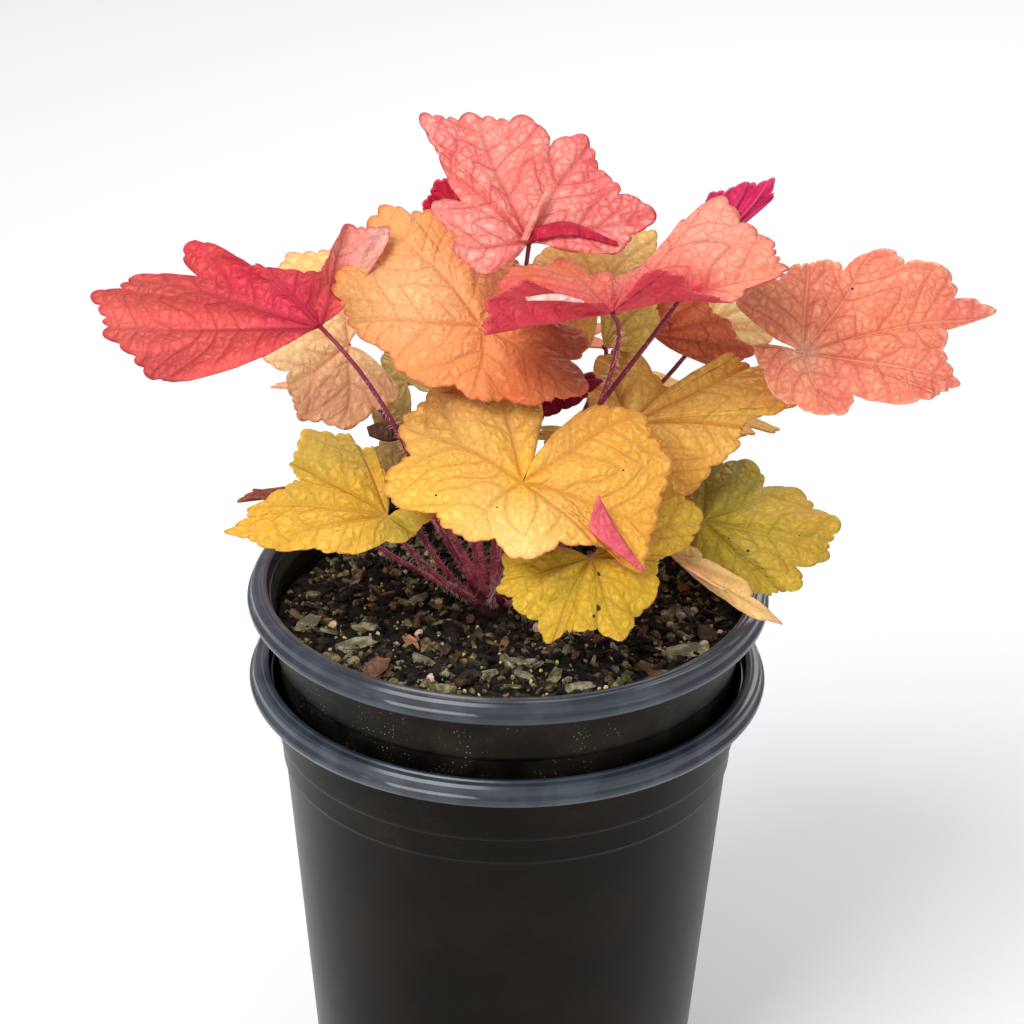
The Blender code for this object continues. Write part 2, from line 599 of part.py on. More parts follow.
def make_stalk(collection, name, leaf, material):
    place, way = crown_foot(*leaf["stalk"])
    start = place + way * GAP
    joint = Vector(leaf["at"])
    reach = (joint - start).length
    arrive = (0.55 * leaf["normal"] + 0.45 * (joint - start).normalized()).normalized()
    lean = math.sqrt(max(0.0, 1.0 - arrive.dot(leaf["normal"])**2))
    room = BLADE * 0.5 + GAP + STALK_RADIUS * STALK_TAPER * lean + leaf.get("room", 0.25)
    end = joint - leaf["normal"] * room
    first = start + way * reach * leaf.get("spring", 0.3)
    second = end - arrive * reach * leaf.get("droop", 0.25) + Vector(leaf.get("bend", (0, 0, 0)))
    curve = bpy.data.curves.new(f"stalk_{name}", "CURVE")
    curve.dimensions = "3D"
    curve.bevel_depth = STALK_RADIUS * MM
    curve.bevel_resolution = (STALK_SIDES - 4) // 2
    curve.use_fill_caps = True
    spline = curve.splines.new("POLY")
    pieces = 7
    spline.points.add(pieces)
    for k, point in enumerate(spline.points):
        f = k / pieces
        spot = ((1 - f)**3 * start + 3 * (1 - f)**2 * f * first + 3 * (1 - f) * f**2 * second
                + f**3 * end)
        point.co = (*(spot * MM), 1.0)
        point.radius = 1.0 + (STALK_TAPER - 1.0) * f**2
    guide = put(collection, f"guide_{name}", curve, material)
    graph = bpy.context.evaluated_depsgraph_get()
    mesh = bpy.data.meshes.new_from_object(guide.evaluated_get(graph))
    bpy.data.objects.remove(guide, do_unlink=True)
    shape = bmesh.new()
    shape.from_mesh(mesh)
    bmesh.ops.remove_doubles(shape, verts=shape.verts, dist=0.00001)
    shape.to_mesh(mesh)
    shape.free()
    stalk = bpy.data.objects.new(f"stalk_{name}", mesh)
    collection.objects.link(stalk)
    stalk.data.shade_smooth()
    return stalk


def main():
    clear_scene()
    plant = make_collection("heuchera_in_pot")
    cutters = make_collection("cutters")
    black = make_material("pot_plastic", POT_BLACK, 0.3)
    dark = make_material("soil", SOIL_DARK, 0.95)
    wood = make_material("crown_wood", WOOD_BROWN, 0.8)
    red = make_material("stalk", PLANT_RED, 0.5)
    make_pot(plant, cutters, "outer_pot", 0.0, black)
    make_pot(plant, cutters, "inner_pot", NEST_RISE, black)
    make_soil(plant, cutters, dark)
    make_crown(plant, wood)
    for name, leaf in {**LEAVES, **FAR_LEAVES}.items():
        green = make_material(f"leaf_{name}", leaf["colour"], 0.6)
        ready(leaf)
        make_blade(plant, name, leaf, green)
        make_stalk(plant, name, leaf, red)


main()
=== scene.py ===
# Heuchera with coral, orange and yellow leaves in two nested black nursery pots
import math
import random

import bmesh
import bpy
import numpy as np
from mathutils import Matrix, Vector, noise


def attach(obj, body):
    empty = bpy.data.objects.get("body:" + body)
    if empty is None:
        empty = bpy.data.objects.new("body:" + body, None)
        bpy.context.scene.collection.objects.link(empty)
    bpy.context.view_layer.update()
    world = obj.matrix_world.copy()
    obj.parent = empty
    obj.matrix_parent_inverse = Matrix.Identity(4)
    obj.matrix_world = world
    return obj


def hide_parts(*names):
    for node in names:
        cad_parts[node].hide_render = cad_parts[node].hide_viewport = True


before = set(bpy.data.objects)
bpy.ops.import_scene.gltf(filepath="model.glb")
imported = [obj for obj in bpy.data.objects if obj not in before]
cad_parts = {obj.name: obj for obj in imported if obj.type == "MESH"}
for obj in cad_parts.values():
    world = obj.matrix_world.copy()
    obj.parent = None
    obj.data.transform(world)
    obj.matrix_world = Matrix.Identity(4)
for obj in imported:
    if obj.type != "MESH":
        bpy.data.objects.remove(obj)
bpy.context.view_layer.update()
mm = 0.001
random.seed(7)
dice = np.random.default_rng(7)


def tone(colour):
    # screen colour, 0 to 255, to the linear values that nodes take
    linear = [(c / 255.0 / 12.92) if c <= 10 else ((c / 255.0 + 0.055) / 1.055) ** 2.4 for c in colour]
    return (*linear, 1.0)


def deselectAll():
    if bpy.context.mode != "OBJECT":
        bpy.ops.object.mode_set(mode="OBJECT")
    bpy.ops.object.select_all(action="DESELECT")


def pick(thing):
    deselectAll()
    thing.select_set(True)
    bpy.context.view_layer.objects.active = thing


def applyAll(thing):
    pick(thing)
    for modifier in list(thing.modifiers):
        bpy.ops.object.modifier_apply(modifier=modifier.name)


def joinInto(main, others):
    deselectAll()
    for thing in others:
        thing.select_set(True)
    main.select_set(True)
    bpy.context.view_layer.objects.active = main
    bpy.ops.object.join()


def dress(piece, node):
    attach(piece, "root")
    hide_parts(node)


# Node helpers
def newMaterial(name, **sockets):
    material = bpy.data.materials.new(name)
    material.use_nodes = True
    shader = material.node_tree.nodes["Principled BSDF"]
    for socket, value in sockets.items():
        shader.inputs[socket.replace("_", " ")].default_value = value
    return material, material.node_tree, shader


def addNode(tree, kind, inputs=None, **settings):
    node = tree.nodes.new(kind)
    for key, value in settings.items():
        setattr(node, key, value)
    for socket, value in (inputs or {}).items():
        if isinstance(value, bpy.types.NodeSocket):
            tree.links.new(value, node.inputs[socket])
        else:
            node.inputs[socket].default_value = value
    return node


def calc(tree, operation, *values):
    node = addNode(tree, "ShaderNodeMath", dict(enumerate(values)), operation=operation)
    return node.outputs[0]


def ramp(tree, value, low, high, start=0.0, end=1.0):
    node = addNode(tree, "ShaderNodeMapRange", {"Value": value, "From Min": low, "From Max": high,
                   "To Min": start, "To Max": end}, interpolation_type="SMOOTHSTEP")
    return node.outputs["Result"]


def blendColour(tree, amount, first, second):
    node = addNode(tree, "ShaderNodeMix", data_type="RGBA")
    for socket, value in ((node.inputs[0], amount), (node.inputs[6], first), (node.inputs[7], second)):
        if isinstance(value, bpy.types.NodeSocket):
            tree.links.new(value, socket)
        else:
            socket.default_value = value
    return node.outputs[2]


def objectSpot(tree):
    return addNode(tree, "ShaderNodeTexCoord").outputs["Object"]


def makeGroup(name, inputs, outputs):
    group = bpy.data.node_groups.new(name, "ShaderNodeTree")
    for title, kind in inputs:
        group.interface.new_socket(name=title, in_out="INPUT", socket_type=kind)
    for title, kind in outputs:
        group.interface.new_socket(name=title, in_out="OUTPUT", socket_type=kind)
    return group, group.nodes.new("NodeGroupInput"), group.nodes.new("NodeGroupOutput")


# Veins of a leaf: the main ones fan out from the stalk, side veins leave them, and a net fills in
veinStyle = dict(sideSpacing=7.5, sideLean=0.8, netCells=310.0, netLine=0.16, drift=12.0, wobble=1.6)


def makeVeinGroup():
    number = "NodeSocketFloat"
    tree, given, made = makeGroup("leafVeins", [("Side", number), ("Along", number), ("Share", number)],
                                  [("Main", number), ("Branch", number), ("Net", number), ("Relief", number)])
    side, along, share = given.outputs["Side"], given.outputs["Along"], given.outputs["Share"]
    spot = objectSpot(tree)
    width = calc(tree, "MULTIPLY_ADD", share, -0.45, 0.62)
    mainGap = calc(tree, "DIVIDE", side, width)
    drift = addNode(tree, "ShaderNodeTexNoise", {"Vector": spot, "Scale": 60.0, "Detail": 0.0})
    waver = addNode(tree, "ShaderNodeTexNoise", {"Vector": spot, "Scale": 260.0, "Detail": 2.0})
    bend = calc(tree, "MULTIPLY", calc(tree, "SUBTRACT", drift.outputs["Fac"], 0.5), veinStyle["drift"])
    bend = calc(tree, "ADD", bend, calc(tree, "MULTIPLY", calc(tree, "SUBTRACT", waver.outputs["Fac"], 0.5),
                veinStyle["wobble"]))
    reach = calc(tree, "ADD", calc(tree, "SUBTRACT", along,
                 calc(tree, "MULTIPLY", side, veinStyle["sideLean"])), bend)
    turn = calc(tree, "PINGPONG", calc(tree, "DIVIDE", reach, veinStyle["sideSpacing"]), 0.5)
    away = calc(tree, "MULTIPLY", turn, veinStyle["sideSpacing"] * 0.78)
    fade = ramp(tree, share, 1.0, 0.6, 0.3, 1.0)
    warp = addNode(tree, "ShaderNodeTexNoise", {"Vector": spot, "Scale": 240.0, "Detail": 2.0})
    shift = addNode(tree, "ShaderNodeVectorMath", {0: warp.outputs["Color"], 1: (0.0030,) * 3},
                    operation="MULTIPLY")
    moved = addNode(tree, "ShaderNodeVectorMath", {0: spot, 1: shift.outputs[0]}, operation="ADD")
    cells = addNode(tree, "ShaderNodeTexVoronoi", {"Vector": moved.outputs[0],
                    "Scale": veinStyle["netCells"]}, feature="DISTANCE_TO_EDGE")
    main = calc(tree, "SUBTRACT", 1.0, ramp(tree, mainGap, 0.2, 1.3))
    branch = calc(tree, "MULTIPLY", calc(tree, "SUBTRACT", 1.0, ramp(tree, away, 0.06, 0.45)), fade)
    net = calc(tree, "SUBTRACT", 1.0, ramp(tree, cells.outputs["Distance"], 0.0, veinStyle["netLine"]))
    # the wide soft hollows round the veins, which make the blade look puckered; Relief drives the leaf's bump and also
    # its painted shade in these hollows
    hollow = calc(tree, "MULTIPLY", calc(tree, "SUBTRACT", 1.0, ramp(tree, side, 0.0, 2.2)), 0.62)
    dip = calc(tree, "MULTIPLY", calc(tree, "SUBTRACT", 1.0, ramp(tree, away, 0.0, 2.0)), 0.55)
    cup = calc(tree, "MULTIPLY", calc(tree, "SUBTRACT", 1.0, ramp(tree, cells.outputs["Distance"], 0.0, 0.45)), 0.42)
    relief = calc(tree, "MAXIMUM", calc(tree, "MAXIMUM", hollow, dip), cup)
    for title, value in (("Main", main), ("Branch", branch), ("Net", net), ("Relief", relief)):
        tree.links.new(value, made.inputs[title])
    return tree


def makeMottleGroup():
    # soft patches and a fine grain, as masks
    number = "NodeSocketFloat"
    tree, given, made = makeGroup("mottle", [("Patch Scale", number), ("Grain Scale", number)],
                                  [("Patch", number), ("Grain", number)])
    spot = objectSpot(tree)
    patch = addNode(tree, "ShaderNodeTexNoise", {"Vector": spot, "Scale": given.outputs["Patch Scale"],
                    "Detail": 4.0, "Roughness": 0.6})
    grain = addNode(tree, "ShaderNodeTexNoise", {"Vector": spot, "Scale": given.outputs["Grain Scale"],
                    "Detail": 3.0, "Roughness": 0.7})
    tree.links.new(ramp(tree, patch.outputs["Fac"], 0.42, 0.66), made.inputs["Patch"])
    tree.links.new(grain.outputs["Fac"], made.inputs["Grain"])
    return tree


veinGroup = makeVeinGroup()
mottleGroup = makeMottleGroup()


def fillGroup(tree, group, inputs):
    node = addNode(tree, "ShaderNodeGroup", node_tree=group)
    for socket, value in inputs.items():
        if isinstance(value, bpy.types.NodeSocket):
            tree.links.new(value, node.inputs[socket])
        else:
            node.inputs[socket].default_value = value
    return node


def leafMaterial(name, look, base, veinsUp):
    # base is a colour, or None where the leaf's tint is painted on its points; on middle_orange that tint holds painted
    # shadow too
    material, tree, shader = newMaterial(name, Specular_IOR_Level=0.22)
    tint = tone(base) if base else addNode(tree, "ShaderNodeAttribute", attribute_name="tint").outputs["Color"]
    facts = {title: addNode(tree, "ShaderNodeAttribute", attribute_name=title.lower()).outputs["Fac"]
             for title in ("Side", "Along", "Share")}
    veins = fillGroup(tree, veinGroup, facts)
    mottle = fillGroup(tree, mottleGroup, {"Patch Scale": 70.0, "Grain Scale": 900.0})
    out = mottle.outputs
    raisedPart = ramp(tree, veins.outputs["Relief"], 0.55, 0.0)
    paler = calc(tree, "MULTIPLY", calc(tree, "MULTIPLY_ADD", out["Patch"], 0.5, calc(tree, "MULTIPLY", raisedPart, 0.5)),
                 look.get("patchShare", 0.5))
    colour = blendColour(tree, paler, tint, tone(look["patch"]))
    fine = tone(look["net"])
    colour = blendColour(tree, calc(tree, "MULTIPLY", veins.outputs["Net"], look.get("netShare", 0.3)),
                         colour, fine)
    line = tone(look["vein"])
    colour = blendColour(tree, calc(tree, "MULTIPLY", veins.outputs["Branch"], look.get("branchShare", 0.5)),
                         colour, fine)
    colour = blendColour(tree, calc(tree, "MULTIPLY", veins.outputs["Main"], look.get("mainShare", 0.42)), colour, line)
    colour = blendColour(tree, ramp(tree, facts["Share"], 0.955, 1.0, 0.0, 0.55), colour,
                         tone(look.get("edge", look["vein"])))
    # painted shade: the colour is darkened in the hollows round the veins and lightened on the raised parts between
    # them; the grain below adds random tone
    hollowShade = ramp(tree, veins.outputs["Relief"], 0.0, 0.9, 1.08, 0.78)
    shade = addNode(tree, "ShaderNodeHueSaturation", {"Color": colour,
                    "Value": calc(tree, "MULTIPLY", hollowShade, ramp(tree, out["Grain"], 0.3, 0.7, 0.88, 1.1))})
    tree.links.new(shade.outputs["Color"], shader.inputs["Base Color"])
    tree.links.new(ramp(tree, out["Grain"], 0.3, 0.7, 0.42, 0.62), shader.inputs["Roughness"])
    bump = addNode(tree, "ShaderNodeBump", {"Height": veins.outputs["Relief"], "Strength": 1.0,
                   "Distance": 0.0011}, invert=not veinsUp)
    tree.links.new(bump.outputs["Normal"], shader.inputs["Normal"])
    return material


# Leaves. Sizes in mm. The joint of blade and stalk; outline points from it as (across, up, near)
# as the camera sees them; how deep the edge dips between them; tints as (across, up, radius, colour), some of them
# painted shadow.
leafStyle = dict(tilt=26.6, halfFan=0.45, endSweep=0.55, lobeRound=2.6, tooth=0.04, toothWide=15.0,
                 thick=0.42, puff=0.55, sink=0.25, fold=1.5, wave=1.2, sway=0.22, columnsPerGap=16, rows=28, hairLong=0.9, hairThick=0.045)
leaves = {}
leaves["front_gold"] = dict(
    at=(4, -36, 244), stalk=("low", -95), bulge=.05,
    outline=[(20, 23, -12), (36, 21, -10), (45, 7, -4), (40, -12, 0), (36, -26, 6), (21, -18, 11),
             (2, -23, 14), (-20, -15, 10), (-41, -4, 1), (-36, 20, -9), (-25, 31, -14), (-9, 32, -15),
             (3, 25, -12)] ,
    dips=(.04, .05, .03, .02, .1, .1, .12, .1, .12, .02, .03, 0),
    look=dict(base=(236, 174, 76), under=(232, 96, 104), vein=(204, 124, 62), net=(214, 146, 60), patch=(246, 196, 84)),
    tints=[(-26, 22, 17, (184, 128, 72)), (-8, 26, 13, (204, 146, 78)), (8, 20, 10, (190, 138, 70)),
           (-2, -19, 15, (254, 216, 136)), (-18, -12, 10, (248, 202, 110)),
           (-32, -6, 14, (240, 186, 70)), (30, 14, 15, (222, 156, 60)), (40, -14, 12, (230, 156, 50)),
           (34, -24, 7, (236, 170, 60)), (0, 2, 7, (236, 176, 44))] ,
)
leaves["middle_orange"] = dict(
    at=(-9, -6, 282), stalk=("mid", -120), bulge=.05,
    outline=[(32, -3, -8), (31, -20, 4), (16, -24, 8), (1, -23, 10), (-21, -17, 10), (-40, 0, 2),
             (-45, 10, -4), (-32, 38, -18), (-16, 36, -20), (10, 22, -22)] ,
    dips=(.16, .03, .08, .1, .05, .02, .12, .03, .1),
    look=dict(base=(240, 150, 88), under=(214, 70, 80), vein=(214, 96, 60), net=(214, 104, 62), patch=(248, 186, 124), patchShare=.14, mainShare=.28, netShare=.12, branchShare=.2),
    # the dark red-brown tints at (22, 2), (28, -10) and (34, -18) are painted shadow: high_crimson's lobe shades this
    # leaf's right side
    tints=[(-36, 8, 14, (214, 150, 86)), (-26, 34, 12, (244, 176, 104)), (-20, 10, 14, (248, 188, 130)),
           (12, -18, 11, (224, 104, 54)), (-44, 2, 7, (190, 136, 74)), (22, 2, 10, (186, 66, 34)),
           (28, -10, 18, (134, 36, 14)), (34, -18, 10, (120, 38, 18))] ,
)
leaves["top_salmon"] = dict(
    at=(5, 0, 307), stalk=("top", -100), bulge=.05,
    outline=[(-15, -10, 8), (-22, -4, 6), (-29, 9, 0), (-27, 25, -7), (-33, 38, -12), (-19, 41, -14),
             (-3, 39, -14), (17, 34, -12), (23, 22, -9), (38, 9, -4), (27, -2, 6)] ,
    dips=(.03, .22, .24, .03, .03, .04, .22, .03, .1, .05),
    look=dict(base=(234, 116, 108), under=(176, 24, 58), vein=(200, 62, 72), net=(204, 62, 74), patch=(250, 182, 166), patchShare=.7),
    tints=[(-24, 36, 12, (226, 98, 96)), (-8, 34, 12, (238, 128, 112)), (-20, -2, 13, (240, 140, 126)),
           (20, 24, 11, (232, 108, 102)), (32, 6, 12, (222, 96, 96)), (4, 10, 8, (244, 150, 134)),
           (2, 2, 5, (196, 40, 72))] ,
)
leaves["high_crimson"] = dict(
    at=(30, -27, 296), stalk=("mid", -56), bulge=0, basal=.8, spring=.15, droop=.1, bend=(12, 12, 0),
    outline=[(-8, 2, 10), (-26, 7, 14), (-37, 1, 12), (-38, -7, 6), (-30, 12, -14), (-15, 18, -20),
             (-4, 11, -16), (8, 16, -22), (19, 24, -24), (33, 37, -22), (48, 23, -14), (52, 14, -8),
             (34, 4, 4), (15, 11, 14)] ,
    dips=(.06, .02, .02, .02, .03, .04, .2, .1, .05, .05, .04, .05, .1),
    look=dict(base=(238, 146, 118), under=(206, 44, 70), vein=(214, 92, 84), net=(206, 84, 80), patch=(248, 180, 150), patchShare=.12),
    tints=[(34, 28, 15, (244, 164, 140)), (48, 14, 9, (238, 146, 112)), (-34, -3, 12, (216, 40, 68)),
           (-22, -2, 11, (214, 30, 68)), (-12, -1, 9, (206, 24, 64)), (-26, 2, 8, (212, 34, 66)),
           (-2, 0, 7, (196, 22, 62)), (8, 4, 7, (208, 34, 68)), (18, 8, 8, (212, 46, 72)),
           (25, 6, 6, (206, 40, 66)), (-24, 13, 6, (222, 112, 62)), (-16, 16, 8, (220, 110, 60)),
           (-7, 13, 6, (212, 98, 56))] ,
)
leaves["left_coral"] = dict(
    at=(-58, -8, 282), stalk=("mid", -165), bulge=.03, basal=.35, droop=.4, bend=(8, 0, 0),
    outline=[(20, 31, -8), (8, 32, -9), (1, 17, 0), (-15, 17, 8), (-38, 23, 13), (-55, 14, 11),
             (-68, 7, 6), (-65, -3, 0), (-52, -16, -9)] ,
    dips=(.03, .05, .05, .12, .2, .03, .03, .03),
    shows="under",
    look=dict(base=(232, 92, 88), under=(222, 72, 70), vein=(184, 44, 58), net=(190, 50, 58), patch=(236, 108, 90), other=(240, 170, 140)),
    tints=[(-8, 6, 13, (214, 40, 84)), (-36, 20, 9, (222, 60, 76)), (-60, 4, 14, (236, 112, 100)),
           (-46, -12, 9, (226, 88, 88)), (12, 21, 8, (232, 166, 148)), (19, 31, 10, (242, 198, 180)),
           (6, 27, 6, (228, 150, 136)), (0, 0, 6, (176, 16, 62)), (-24, 14, 10, (214, 36, 72))] ,
)
leaves["right_salmon"] = dict(
    at=(90, 4, 270), stalk=("mid", 5), bulge=.05, spring=.55, droop=.3, bend=(12, 12, 0),
    outline=[(-20, 18, -4), (1, 28, -8), (8, 30, -10), (27, 33, -12), (44, 27, -8), (59, 14, -2),
             (43, 4, 4), (47, -9, 8), (38, -14, 9), (6, -19, 10), (-10, -13, 8), (-15, 1, 3)] ,
    dips=(.05, .03, .16, .1, .08, .28, .03, .03, .2, .03, .03),
    look=dict(base=(236, 136, 100), under=(206, 60, 96), vein=(248, 188, 158), net=(206, 86, 70), patch=(248, 176, 136)),
    tints=[(-14, 18, 10, (242, 160, 120)), (8, 26, 12, (232, 122, 100)), (30, 28, 12, (236, 132, 106)),
           (52, 14, 9, (214, 80, 90)), (42, -8, 12, (226, 112, 98)), (12, -14, 13, (230, 116, 100)),
           (0, 0, 6, (250, 190, 160))] ,
)
leaves["rear_left_peach"] = dict(
    at=(-52, 36, 257), stalk=("mid", 150), bulge=.05,
    outline=[(16, -16, 0), (0, -27, 6), (-15, -24, 6), (-18, -16, 4), (-27, -4, 2), (-26, 7, -4),
             (-20, 29, -11), (-4, 32, -12), (8, 26, -12)] ,
    dips=(.05, .04, .02, .2, .03, .15, .03, .05),
    look=dict(base=(252, 206, 150), under=(232, 120, 110), vein=(226, 132, 86), net=(232, 150, 100), patch=(248, 206, 142)),
    tints=[(-12, 26, 14, (250, 208, 124)), (4, 20, 10, (246, 196, 124)), (-20, -4, 12, (252, 220, 160)),
           (-10, -20, 10, (246, 168, 130)), (6, -20, 9, (248, 180, 136))] ,
)
leaves["rear_top_yellow"] = dict(
    at=(27, 48, 271), stalk=("top", 95), bulge=.05,
    outline=[(-5, -19, 8), (-16, -9, 6), (-20, 9, 0), (-8, 25, -10), (10, 25, -12), (19, 21, -10),
             (19, 8, -4), (11, -7, 4)] ,
    dips=(.05,) * 7,
    look=dict(base=(240, 178, 92), under=(230, 120, 96), vein=(222, 140, 76), net=(232, 156, 84), patch=(248, 206, 130)),
    tints=[(10, 16, 10, (246, 208, 136)), (-12, 10, 9, (238, 160, 84))] ,
)
leaves["right_amber"] = dict(
    at=(37, 2, 246), stalk=("mid", -25), bulge=.05,
    outline=[(-13, 7, 0), (-10, 20, -8), (-1, 25, -10), (13, 12, -6), (31, 21, -10), (42, 20, -9),
             (53, 8, -4), (36, 1, 0), (34, -6, 3), (19, -21, 4), (0, -24, 10)] ,
    dips=(.03, .03, .02, .05, .03, .03, .02, .02, .05, .05),
    look=dict(base=(252, 200, 104), under=(226, 112, 84), vein=(206, 122, 62), net=(214, 146, 60), patch=(242, 196, 92)),
    tints=[(0, 18, 12, (196, 152, 76)), (14, 10, 9, (226, 170, 72)), (38, 16, 13, (240, 184, 74)),
           (20, -16, 14, (228, 152, 56)), (6, -20, 9, (214, 150, 56)), (48, 12, 8, (226, 150, 56))] ,
)
leaves["left_olive"] = dict(
    at=(-37, -26, 227), stalk=("low", -135), bulge=.05,
    outline=[(16, 2, 2), (8, -6, 6), (-14, -11, 10), (-37, -10, 10), (-49, -5, 6), (-42, 2, 1),
             (-28, 10, -5), (-31, 16, -9), (-26, 25, -15), (-12, 25, -17), (-6, 19, -15)] ,
    dips=(.03, .05, .02, .02, .1, .08, .02, .03, .03, .03),
    look=dict(base=(224, 166, 42), under=(226, 122, 90), vein=(222, 176, 66), net=(196, 144, 34), patch=(234, 184, 60)),
    tints=[(-22, 20, 13, (182, 152, 62)), (-10, 22, 9, (166, 146, 58)), (-40, -8, 14, (236, 176, 62)),
           (4, -3, 9, (170, 158, 62)), (-18, -8, 10, (240, 188, 78)), (-30, 12, 8, (190, 158, 60))] ,
)
leaves["front_mustard"] = dict(
    at=(25, -46, 224), stalk=("low", -65), bulge=.06,
    outline=[(24, 22, -25), (34, 13, -22), (29, 3, -14), (20, -1, -7), (18, -13, 2), (9, -24, 11),
             (-4, -22, 12), (-13, -25, 12), (-22, -16, 8), (-28, -10, 4), (-26, -1, -2)] ,
    dips=(.03, .03, .05, .03, .05, .1, .1, .1, .1, .03),
    look=dict(base=(202, 158, 34), under=(226, 120, 84), vein=(214, 176, 66), net=(176, 134, 26), patch=(216, 174, 48)),
    tints=[(-22, -12, 10, (222, 178, 56)), (4, -20, 10, (212, 170, 52)), (28, 14, 10, (232, 186, 66)),
           (16, 0, 9, (224, 170, 54)), (-8, -6, 7, (178, 150, 52))] ,
)
leaves["right_olive"] = dict(
    at=(61, -4, 216), stalk=("low", -12), bulge=.05,
    outline=[(-9, 8, -12), (0, 17, -14), (16, 18, -13), (31, 9, -8), (42, -2, 0), (39, -11, 3),
             (29, -21, 6), (20, -23, 6), (-2, -15, 4)] ,
    dips=(.03, .03, .16, .05, .03, .15, .03, .05),
    look=dict(base=(184, 156, 46), under=(214, 140, 80), vein=(196, 172, 72), net=(150, 128, 36), patch=(206, 168, 56)),
    tints=[(10, 14, 11, (158, 152, 66)), (34, 0, 10, (198, 150, 56)), (28, -18, 10, (204, 160, 58)),
           (0, 10, 7, (150, 148, 66)), (18, -8, 8, (196, 170, 70))] ,
)
leaves["right_pale_edge"] = dict(
    at=(48, -24, 216), stalk=("low", -38), bulge=.02,
    outline=[(19, -14, 6), (36, -22, 4), (23, -9, -2), (8, 1, -3)] ,
    dips=(.03,) * 3,
    look=dict(base=(238, 200, 120), under=(232, 190, 120), vein=(226, 150, 118), net=(226, 176, 108), patch=(248, 224, 160)),
    tints=[(32, -20, 9, (244, 196, 96)), (10, -6, 7, (236, 160, 130))] ,
)
leaves["rear_young_crimson"] = dict(
    at=(-12, 30, 293), stalk=("top", 150), bulge=.05,
    outline=[(1, 18, 6), (-5, 24, 12), (-12, 20, 8), (-16, 13, 4)] ,
    dips=(.05,) * 3,
    shows="under",
    look=dict(base=(206, 26, 62), under=(206, 26, 62), vein=(236, 90, 110), net=(176, 16, 48), patch=(222, 52, 72), other=(232, 120, 96)),
    tints=[(-4, 20, 7, (216, 44, 70))] ,
)
leaves["rear_young_magenta"] = dict(
    at=(62, 22, 297), stalk=("top", 50), bulge=0, droop=.4, bend=(0, -8, 0),
    outline=[(18, 16, 4), (18, 21, 8), (9, 20, 6), (-1, 17, 4), (-5, 12, 0)] ,
    dips=(.05,) * 4,
    shows="under",
    look=dict(base=(208, 34, 92), under=(208, 34, 92), vein=(236, 110, 140), net=(176, 20, 70), patch=(224, 66, 112), other=(232, 120, 96)),
    tints=[(0, 8, 7, (180, 20, 60))] ,
)
leaves["under_red"] = dict(
    at=(44, 32, 264), stalk=("mid", 33), bulge=0, spring=.15, room=.7,
    outline=[(3, 10, 4), (17, 10, 8), (24, 3, 8), (33, -5, 2), (21, -10, -8)] ,
    dips=(.04,) * 4,
    shows="under",
    look=dict(base=(214, 56, 62), under=(214, 56, 62), vein=(236, 120, 110), net=(180, 34, 44), patch=(226, 84, 76), other=(232, 140, 90)),
    tints=[(26, -4, 7, (140, 86, 48)), (12, 6, 7, (216, 70, 70))] ,
)
leaves["rear_cream"] = dict(
    at=(62, 46, 261), stalk=("mid", 62), bulge=.05,
    outline=[(-6, 12, -8), (7, 12, -10), (22, 7, -6), (21, -5, 2), (9, -8, 6), (-7, -2, 6)] ,
    dips=(.05,) * 5,
    look=dict(base=(242, 204, 128), under=(232, 150, 110), vein=(232, 164, 104), net=(236, 184, 108), patch=(250, 222, 156)),
    tints=[(14, 6, 9, (246, 214, 146))] ,
)
leaves["inner_ochre"] = dict(
    at=(29, 17, 266), stalk=("top", 5), bulge=.05, spring=.35, droop=.1, bend=(5, 12, 0),
    outline=[(1, 14, -10), (9, 22, -12), (16, 17, -8), (17, 7, 0), (12, -1, 4)] ,
    dips=(.03,) * 4,
    look=dict(base=(216, 182, 84), under=(220, 130, 84), vein=(196, 150, 66), net=(190, 152, 62), patch=(232, 202, 110)),
    tints=[(10, 16, 8, (206, 170, 80))] ,
)
leaves["rear_pale_green"] = dict(
    at=(-34, 52, 237), stalk=("mid", 120), bulge=.05, bend=(-8, 0, 0),
    outline=[(0, -15, 4), (-10, -13, 6), (-11, 0, 2), (-6, 11, -6), (3, 8, -6), (9, -3, 0)] ,
    dips=(.06,) * 5,
    look=dict(base=(212, 196, 110), under=(224, 150, 96), vein=(226, 206, 130), net=(190, 170, 84), patch=(232, 214, 136)),
    tints=[(-4, 4, 8, (206, 186, 98))] ,
)
leaves["low_dull_olive"] = dict(
    at=(-36, 4, 228), stalk=("low", 180), bulge=.04,
    outline=[(8, -10, 6), (-7, -7, 4), (-8, 5, -4), (-2, 12, -10), (6, 11, -10), (10, 1, -4)] ,
    dips=(.05,) * 5,
    look=dict(base=(160, 134, 66), under=(180, 110, 70), vein=(186, 156, 90), net=(128, 104, 50), patch=(186, 150, 84)),
    tints=[(4, 8, 7, (196, 150, 90)), (-4, -4, 7, (132, 108, 58))] ,
)
leaves["dry_tip"] = dict(
    at=(-55, -12, 227), stalk=("low", -157), bulge=0,
    outline=[(-14, -2, 4), (-20, -2, 3), (-29, -1, 0), (-22, 1, -3), (-10, 1, -6)] ,
    dips=(.02,) * 4,
    look=dict(base=(134, 62, 42), under=(120, 54, 38), vein=(160, 84, 54), net=(104, 46, 32), patch=(168, 90, 58)),
    tints=[],
)
leaves["young_burgundy"] = dict(
    at=(13, -1, 261), stalk=("top", -45), bulge=0, bend=(-8, 0, 0),
    outline=[(-7, -7, 2), (-2, -10, 3), (8, -6, 4), (15, 1, 5), (12, 3, 1), (3, 2, -3), (-6, -1, -2)] ,
    dips=(.03,) * 6,
    look=dict(base=(128, 14, 44), under=(128, 14, 44), vein=(166, 30, 64), net=(96, 8, 30), patch=(150, 20, 48)),
    tints=[(0, -8, 6, (104, 8, 34))] ,
)
